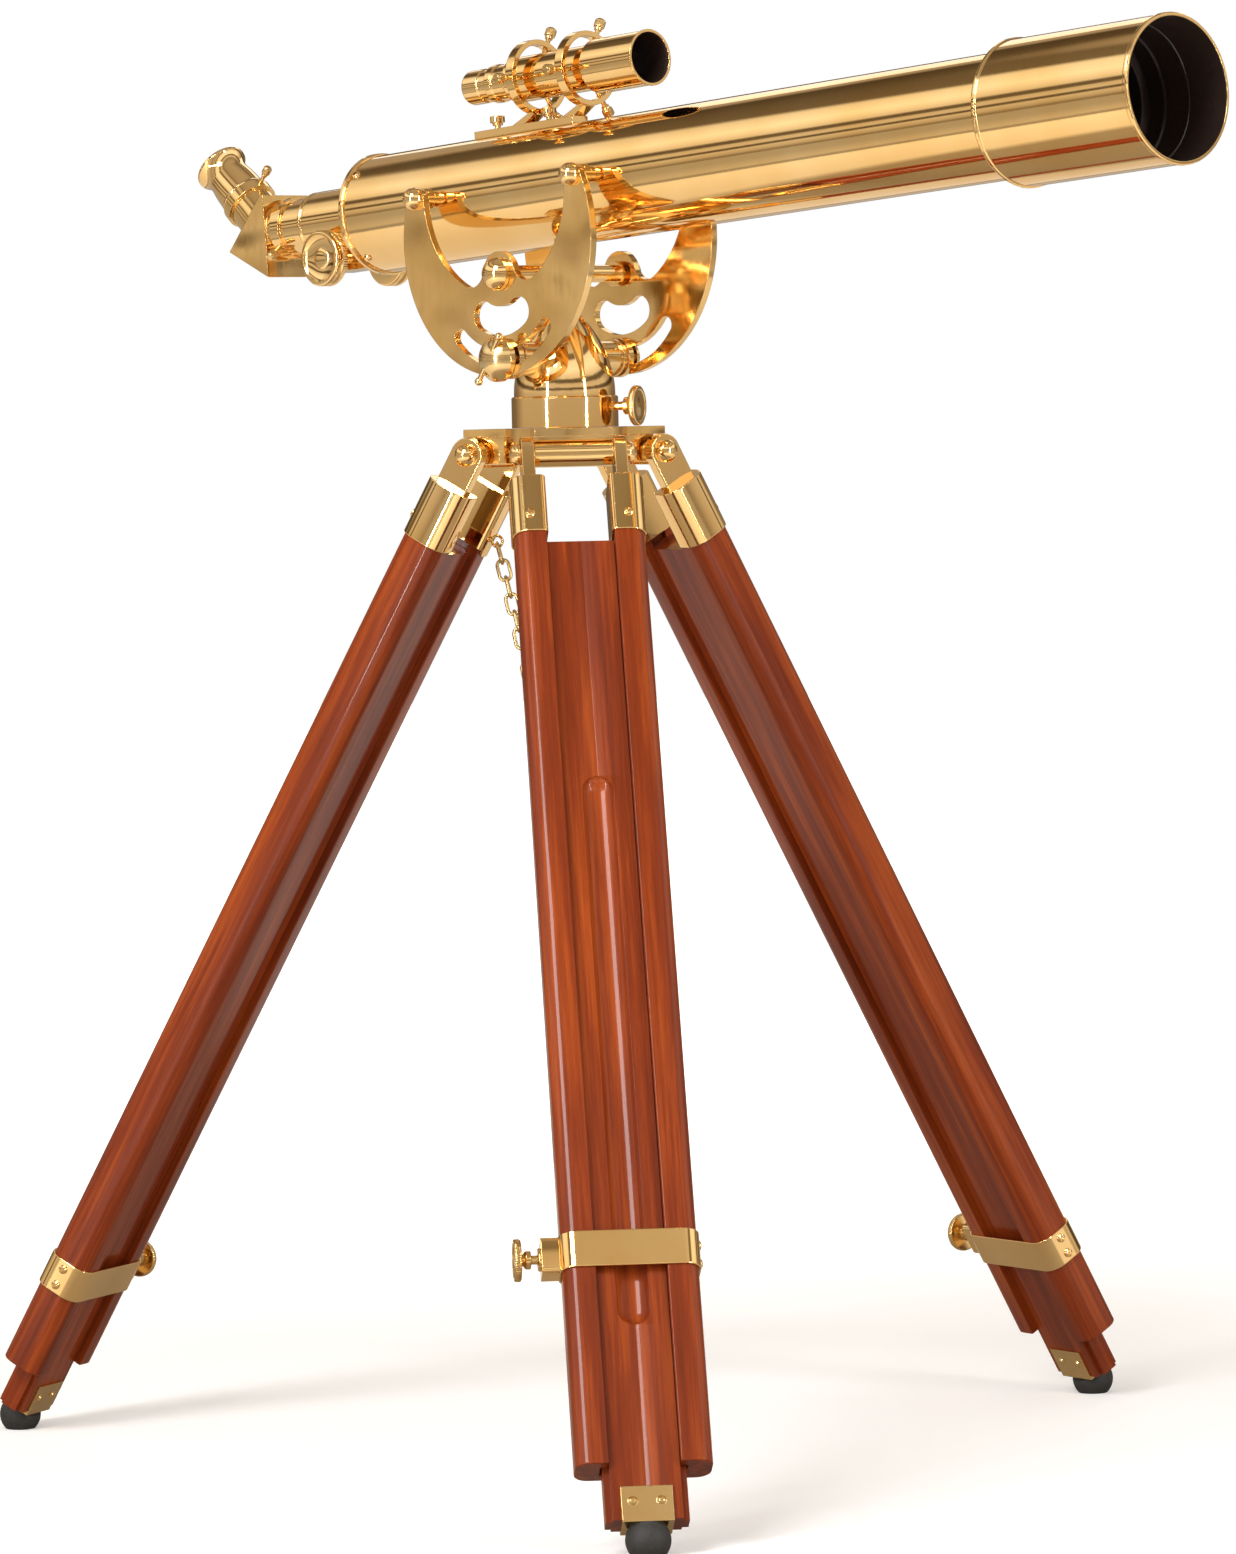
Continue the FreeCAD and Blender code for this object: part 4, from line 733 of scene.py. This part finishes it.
def make_bands():
    for name in LEG_NAMES:
        node, body = "leg_%s_band" % name, "leg_" + name
        side, middle = KNOB_SIDE[name], BAND_MIDDLE[name]
        low, high = middle - BAND_HALF_HEIGHT, middle + BAND_HALF_HEIGHT
        width, depth = RAIL_OUTER + BAND_WALL, RAIL_HALF_DEPTH + BAND_WALL
        outer = rounded_box((-width, -depth), (width, depth), (12.8,) * 4)
        inner = rounded_box(
            (-RAIL_OUTER, -RAIL_HALF_DEPTH), (RAIL_OUTER, RAIL_HALF_DEPTH), (11,) * 4,
        )
        mesh = mesh_from(lambda work: add_cup(work, outer, inner, low, high, 0), "hoop")
        hoop = add_piece("leg_%s_band_hoop" % name, mesh, LEGS[name], GOLD, body)
        soften(hoop, 0.6, 3)

        lug = add_piece(
            "leg_%s_band_lug" % name,
            mesh_from(lambda work: add_lug(work, side, middle), "lug"),
            LEGS[name], GOLD, body,
        )
        soften(lug, 0.8, 3)
        boss_profile = [
            (LUG_BORE, LUG_END - 1), (8.2, LUG_END - 1), (8.2, LUG_END + 1.2), (7.4, LUG_END + 2.2),
            (LUG_BORE + 0.6, LUG_END + 2.2), (LUG_BORE, LUG_END + 1.6),
        ]
        turn = Vector((side, 0, 0)).to_track_quat("Z", "Y").to_matrix().to_4x4()
        boss_frame = LEGS[name] @ Matrix.Translation((0, 0, middle * MM)) @ turn
        boss = turned("leg_%s_band_boss" % name, boss_frame, boss_profile, GOLD, body, segments=64)
        spots = [
            ((-side * width, 0, middle + offset), (-side, 0, 0), 0.9) for offset in (-7, 7)
        ]
        heads = add_heads("leg_%s_band_screws" % name, name, body, spots)
        for piece in (hoop, lug, boss, heads):
            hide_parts(node)


KNOB_RADIUS, KNOB_INSIDE, KNOB_THICK = 21.5, 28.0, 12.0
PINION_SHAFT, GEAR_RADIUS, GEAR_HALF = 4.0, 5.1, 3.0


def make_focus_knobs():
    """Two wheels with milled rims and dished faces on the pinion's shaft."""
    radius, inside, thick = KNOB_RADIUS, KNOB_INSIDE, KNOB_THICK
    half = [
        (PINION_SHAFT, GEAR_HALF), (PINION_SHAFT, inside - 4),
        (8, inside - 4), (8, inside), (radius - 1.6, inside),
        (radius - 0.5, inside + 0.5, True), (radius, inside + 1.2, True),
        (radius, inside + 4.2, True), (radius - 0.6, inside + 4.9, True),
        (radius - 1.4, inside + 5.5), (radius - 1.4, inside + 6.5),
        (radius - 0.6, inside + 7.1, True), (radius, inside + 7.8, True),
        (radius, inside + thick - 1.4, True), (radius - 0.5, inside + thick - 0.6, True),
        (radius - 1.8, inside + thick), (radius - 3.4, inside + thick),
        (radius - 4.6, inside + thick - 1.0), (radius - 6.5, inside + thick - 2.3),
        (8.5, inside + thick - 2.9), (7.6, inside + thick - 2.2), (5.0, inside + thick - 1.6),
        (0, inside + thick - 1.4),
    ]
    profile = [(point[0], -point[1], *point[2:]) for point in reversed(half)]
    profile += [(GEAR_RADIUS, -GEAR_HALF), (GEAR_RADIUS, GEAR_HALF)] + half
    turned(
        "focus_knobs_milled", axis_frame("focus_turn"), profile, GOLD, "focus",
        ("focus_knobs",), 144, 0.4,
    )


# Floor, lights and surroundings --------------------------------------------------------------------

def warm(grey):
    """A grey of the room that turns to brown as it darkens."""
    return (grey, grey * (0.80 + 0.18 * grey), grey * (0.56 + 0.40 * grey))


# what the brass sees of the floor, by distance from the middle, up to 5 m: a pale ring on grey
FLOOR_MIRRORED = [
    (at, warm(grey))
    for at, grey in (
        (0.0, 0.30), (1.0, 0.26), (0.14, 0.30), (0.17, 0.80), (0.42, 0.86), (0.44, 0.12),
        (0.50, 0.14), (0.52, 0.38),
    )
]


def make_floor():
    mesh = bpy.data.meshes.new("floor")
    reach = 14.0
    corners = [(-reach, -reach, 0), (reach, -reach, 0), (reach, reach, 0), (-reach, reach, 0)]
    mesh.from_pydata(corners, [], [(0, 1, 2, 3)])
    floor = bpy.data.objects.new("floor", mesh)
    SCENE.collection.objects.link(floor)
    made = Material("floor_paper")
    grain = made.noise(made.place, 60, 4)
    colour = made.ramp(grain, ((0.3, (0.86, 0.86, 0.86)), (0.7, (0.90, 0.90, 0.90))))
    seen = made.node("ShaderNodeLightPath").outputs["Is Camera Ray"]
    dimmed = made.node("ShaderNodeMix")
    dimmed.data_type = "RGBA"
    length = made.node("ShaderNodeVectorMath")
    length.operation = "LENGTH"
    made.link(made.place, length.inputs[0])
    away = made.span(length.outputs["Value"], 0.0, 1.0, 0.0, 5.0)
    mirrored = made.ramp(away, FLOOR_MIRRORED)
    made.link(mirrored, dimmed.inputs["A"])
    made.link(seen, dimmed.inputs["Factor"])
    made.link(colour, dimmed.inputs["B"])
    made.link(dimmed.outputs["Result"], made.shader.inputs["Base Color"])
    made.link(made.span(grain, 0.7, 0.85), made.shader.inputs["Roughness"])
    glow = made.span(length.outputs["Value"], 0.25, 1.0, 0.8, 2.8)
    made.set(Emission_Color=(1, 1, 1, 1))
    glowing = made.node("ShaderNodeMath")
    glowing.operation = "MULTIPLY"
    made.link(glow, glowing.inputs[0])
    made.link(made.span(seen, 0.3, 1.0, 0, 1), glowing.inputs[1])
    made.link(glowing.outputs["Value"], made.shader.inputs["Emission Strength"])
    mesh.materials.append(made.material)


def area_light(name, place, target, width, height, power, colour=(1, 1, 1)):
    data = bpy.data.lights.new(name, "AREA")
    data.shape = "RECTANGLE"
    data.size = width
    data.size_y = height
    data.energy = power
    data.color = colour
    light = bpy.data.objects.new(name, data)
    aim = Vector(target) - Vector(place)
    light.matrix_world = (
        Matrix.Translation(Vector(place)) @ aim.to_track_quat("-Z", "Y").to_matrix().to_4x4()
    )
    SCENE.collection.objects.link(light)


ROOM_HEIGHTS = (
    (0.0, 0.28), (1.0, 0.38), (0.48, 0.24), (0.50, 0.46), (0.535, 0.60), (0.545, 0.10),
    (0.56, 0.12), (0.57, 0.62), (0.60, 0.55), (0.61, 0.14), (0.635, 0.12), (0.65, 0.70),
    (0.72, 1.0), (0.79, 0.9), (0.805, 0.18), (0.84, 0.20), (0.85, 0.60), (0.90, 0.50),
    (0.91, 0.20), (0.95, 0.34),
)
ROOM_DEPTHS = ((0.0, 1.0), (1.0, 0.30), (0.60, 1.0), (0.85, 0.40))


def make_surroundings():
    """A white room; what the brass mirrors is banded, and darker behind the object."""
    world = bpy.data.worlds.new("room")
    SCENE.world = world
    world.use_nodes = True
    tree = world.node_tree
    tree.nodes.clear()
    link = tree.links.new
    output = tree.nodes.new("ShaderNodeOutputWorld")
    seen = tree.nodes.new("ShaderNodeBackground")
    seen.inputs["Color"].default_value = (1, 1, 1, 1)
    mirrored = tree.nodes.new("ShaderNodeBackground")
    mirrored.inputs["Strength"].default_value = 1.25
    place = tree.nodes.new("ShaderNodeTexCoord")
    split = tree.nodes.new("ShaderNodeSeparateXYZ")
    link(place.outputs["Generated"], split.inputs["Vector"])

    def ramp_along(axis, stops):
        reach = tree.nodes.new("ShaderNodeMapRange")
        reach.inputs["From Min"].default_value = -1
        link(split.outputs[axis], reach.inputs["Value"])
        ramp = tree.nodes.new("ShaderNodeValToRGB")
        elements = ramp.color_ramp.elements
        for index, (at, grey) in enumerate(stops):
            element = elements[index] if index < 2 else elements.new(at)
            element.position = at
            element.color = (*warm(grey), 1)
        link(reach.outputs["Result"], ramp.inputs["Fac"])
        return ramp.outputs["Color"]

    heights = ramp_along("Z", ROOM_HEIGHTS)
    depths = ramp_along("Y", ROOM_DEPTHS)
    both = tree.nodes.new("ShaderNodeMix")
    both.data_type = "RGBA"
    both.blend_type = "MULTIPLY"
    both.inputs["Factor"].default_value = 1.0
    link(heights, both.inputs["A"])
    link(depths, both.inputs["B"])
    link(both.outputs["Result"], mirrored.inputs["Color"])
    ray = tree.nodes.new("ShaderNodeLightPath")
    mix = tree.nodes.new("ShaderNodeMixShader")
    link(ray.outputs["Is Camera Ray"], mix.inputs["Fac"])
    link(mirrored.outputs["Background"], mix.inputs[1])
    link(seen.outputs["Background"], mix.inputs[2])
    link(mix.outputs["Shader"], output.inputs["Surface"])


def board_rows():
    """Sections of the board from top to foot, sinking into the round-ended flute."""
    steps = 14
    heights = [BOARD_TOP]
    for turn in range(1, steps + 1):
        lean = math.pi / 2 * turn / steps
        heights.append(FLUTE_TOP + FLUTE_HALF * math.cos(lean))
    for turn in range(0, steps):
        lean = math.pi / 2 * turn / steps
        heights.append(FLUTE_END - FLUTE_HALF * math.sin(lean))
    heights.append(BOARD_END)
    across = 14
    rows = []
    for height in heights:
        beyond = max(0.0, height - FLUTE_TOP, FLUTE_END - height)
        half = math.sqrt(max(0.0, FLUTE_HALF ** 2 - beyond ** 2))
        row = [(-BOARD_HALF, -BOARD_HALF_DEPTH, height)]
        for step in range(across + 1):
            x = max(half, 0.3) * (2 * step / across - 1)
            inside = max(0.0, 1 - (x * x + beyond * beyond) / FLUTE_HALF ** 2)
            row.append((x, -BOARD_HALF_DEPTH + FLUTE_DEEP * inside ** 0.7, height))
        for side in (1, -1):
            corners = [
                (BOARD_HALF, -BOARD_HALF_DEPTH), (BOARD_HALF, -TONGUE_HALF),
                (TONGUE_REACH, -TONGUE_HALF), (TONGUE_REACH, TONGUE_HALF),
                (BOARD_HALF, TONGUE_HALF), (BOARD_HALF, BOARD_HALF_DEPTH),
            ]
            if side < 0:
                corners = corners[:0:-1]
            row += [(side * x, y, height) for x, y in corners]
        rows.append(row)
    return rows


def make_boards():
    for name in LEG_NAMES:
        mesh = mesh_from(lambda work: add_loft(work, board_rows()), "board")
        piece = add_piece(
            "leg_%s_board_fluted" % name, mesh, LEGS[name], BOARD_WOOD[name],
            "leg_%s_inner" % name, "leg_%s_board" % name,
        )
        soften(piece, 0.5)


DEW_BORE, DEW_BACK, DEW_FRONT = 50.2, 494.1, 627.0
FINDER_BORE, FINDER_SEAT, FINDER_FRONT = 19.0, 67.4, 111.0
PAINT_THICK, RIM_BARE = 0.25, 0.6
# how deep in the dew shield each baffle is, and how far it reaches inward
BAFFLES = ((34, 1.2), (56, 2.2), (72, 8.0), (98, 1.2))


def make_liners():
    """The black paint and baffle steps inside the dew shield, and the finder hood's paint."""
    painted = DEW_BORE - PAINT_THICK
    rim = DEW_FRONT - RIM_BARE
    profile = [(DEW_BORE, DEW_BACK), (DEW_BORE, rim), (painted, rim)]
    for depth, reach in BAFFLES:
        front = DEW_FRONT - depth
        edge = DEW_BORE - reach
        profile += [(painted, front), (edge, front - 0.3), (edge, front - 2.4), (painted, front - 2.7)]
    profile.append((painted, DEW_BACK))
    turned("dew_shield_liner", TUBE_TURNED, profile, BLACK, "telescope", segments=160)
    painted, rim = FINDER_BORE - 0.2, FINDER_FRONT - RIM_BARE
    profile = [
        (FINDER_BORE, FINDER_SEAT), (FINDER_BORE, rim), (painted, rim), (painted, FINDER_SEAT),
    ]
    turned("finder_liner", FINDER_TURNED, profile, BLACK, "telescope", segments=96)


def make_lights():
    """A soft key, two tall strips that draw streaks down the legs, and a faint back light."""
    area_light("key", (-1.6, -2.6, 3.4), (0, 0, 0.7), 1.4, 1.4, 90)
    area_light("strip_left", (-1.9, -2.2, 1.0), (0, 0, 0.5), 0.14, 2.4, 46)
    area_light("strip_right", (2.3, -2.0, 1.0), (0, 0, 0.5), 0.14, 2.4, 40)
    area_light("back", (0.5, 3.2, 2.6), (0, 0, 0.6), 2.5, 1.2, 9)


make_adjusting_screws()
make_thumbscrews()
make_rails()
make_boards()
make_ferrules()
make_bands()
make_focus_knobs()
make_liners()
make_floor()
make_surroundings()
make_lights()

SCENE.view_settings.view_transform = "Standard"
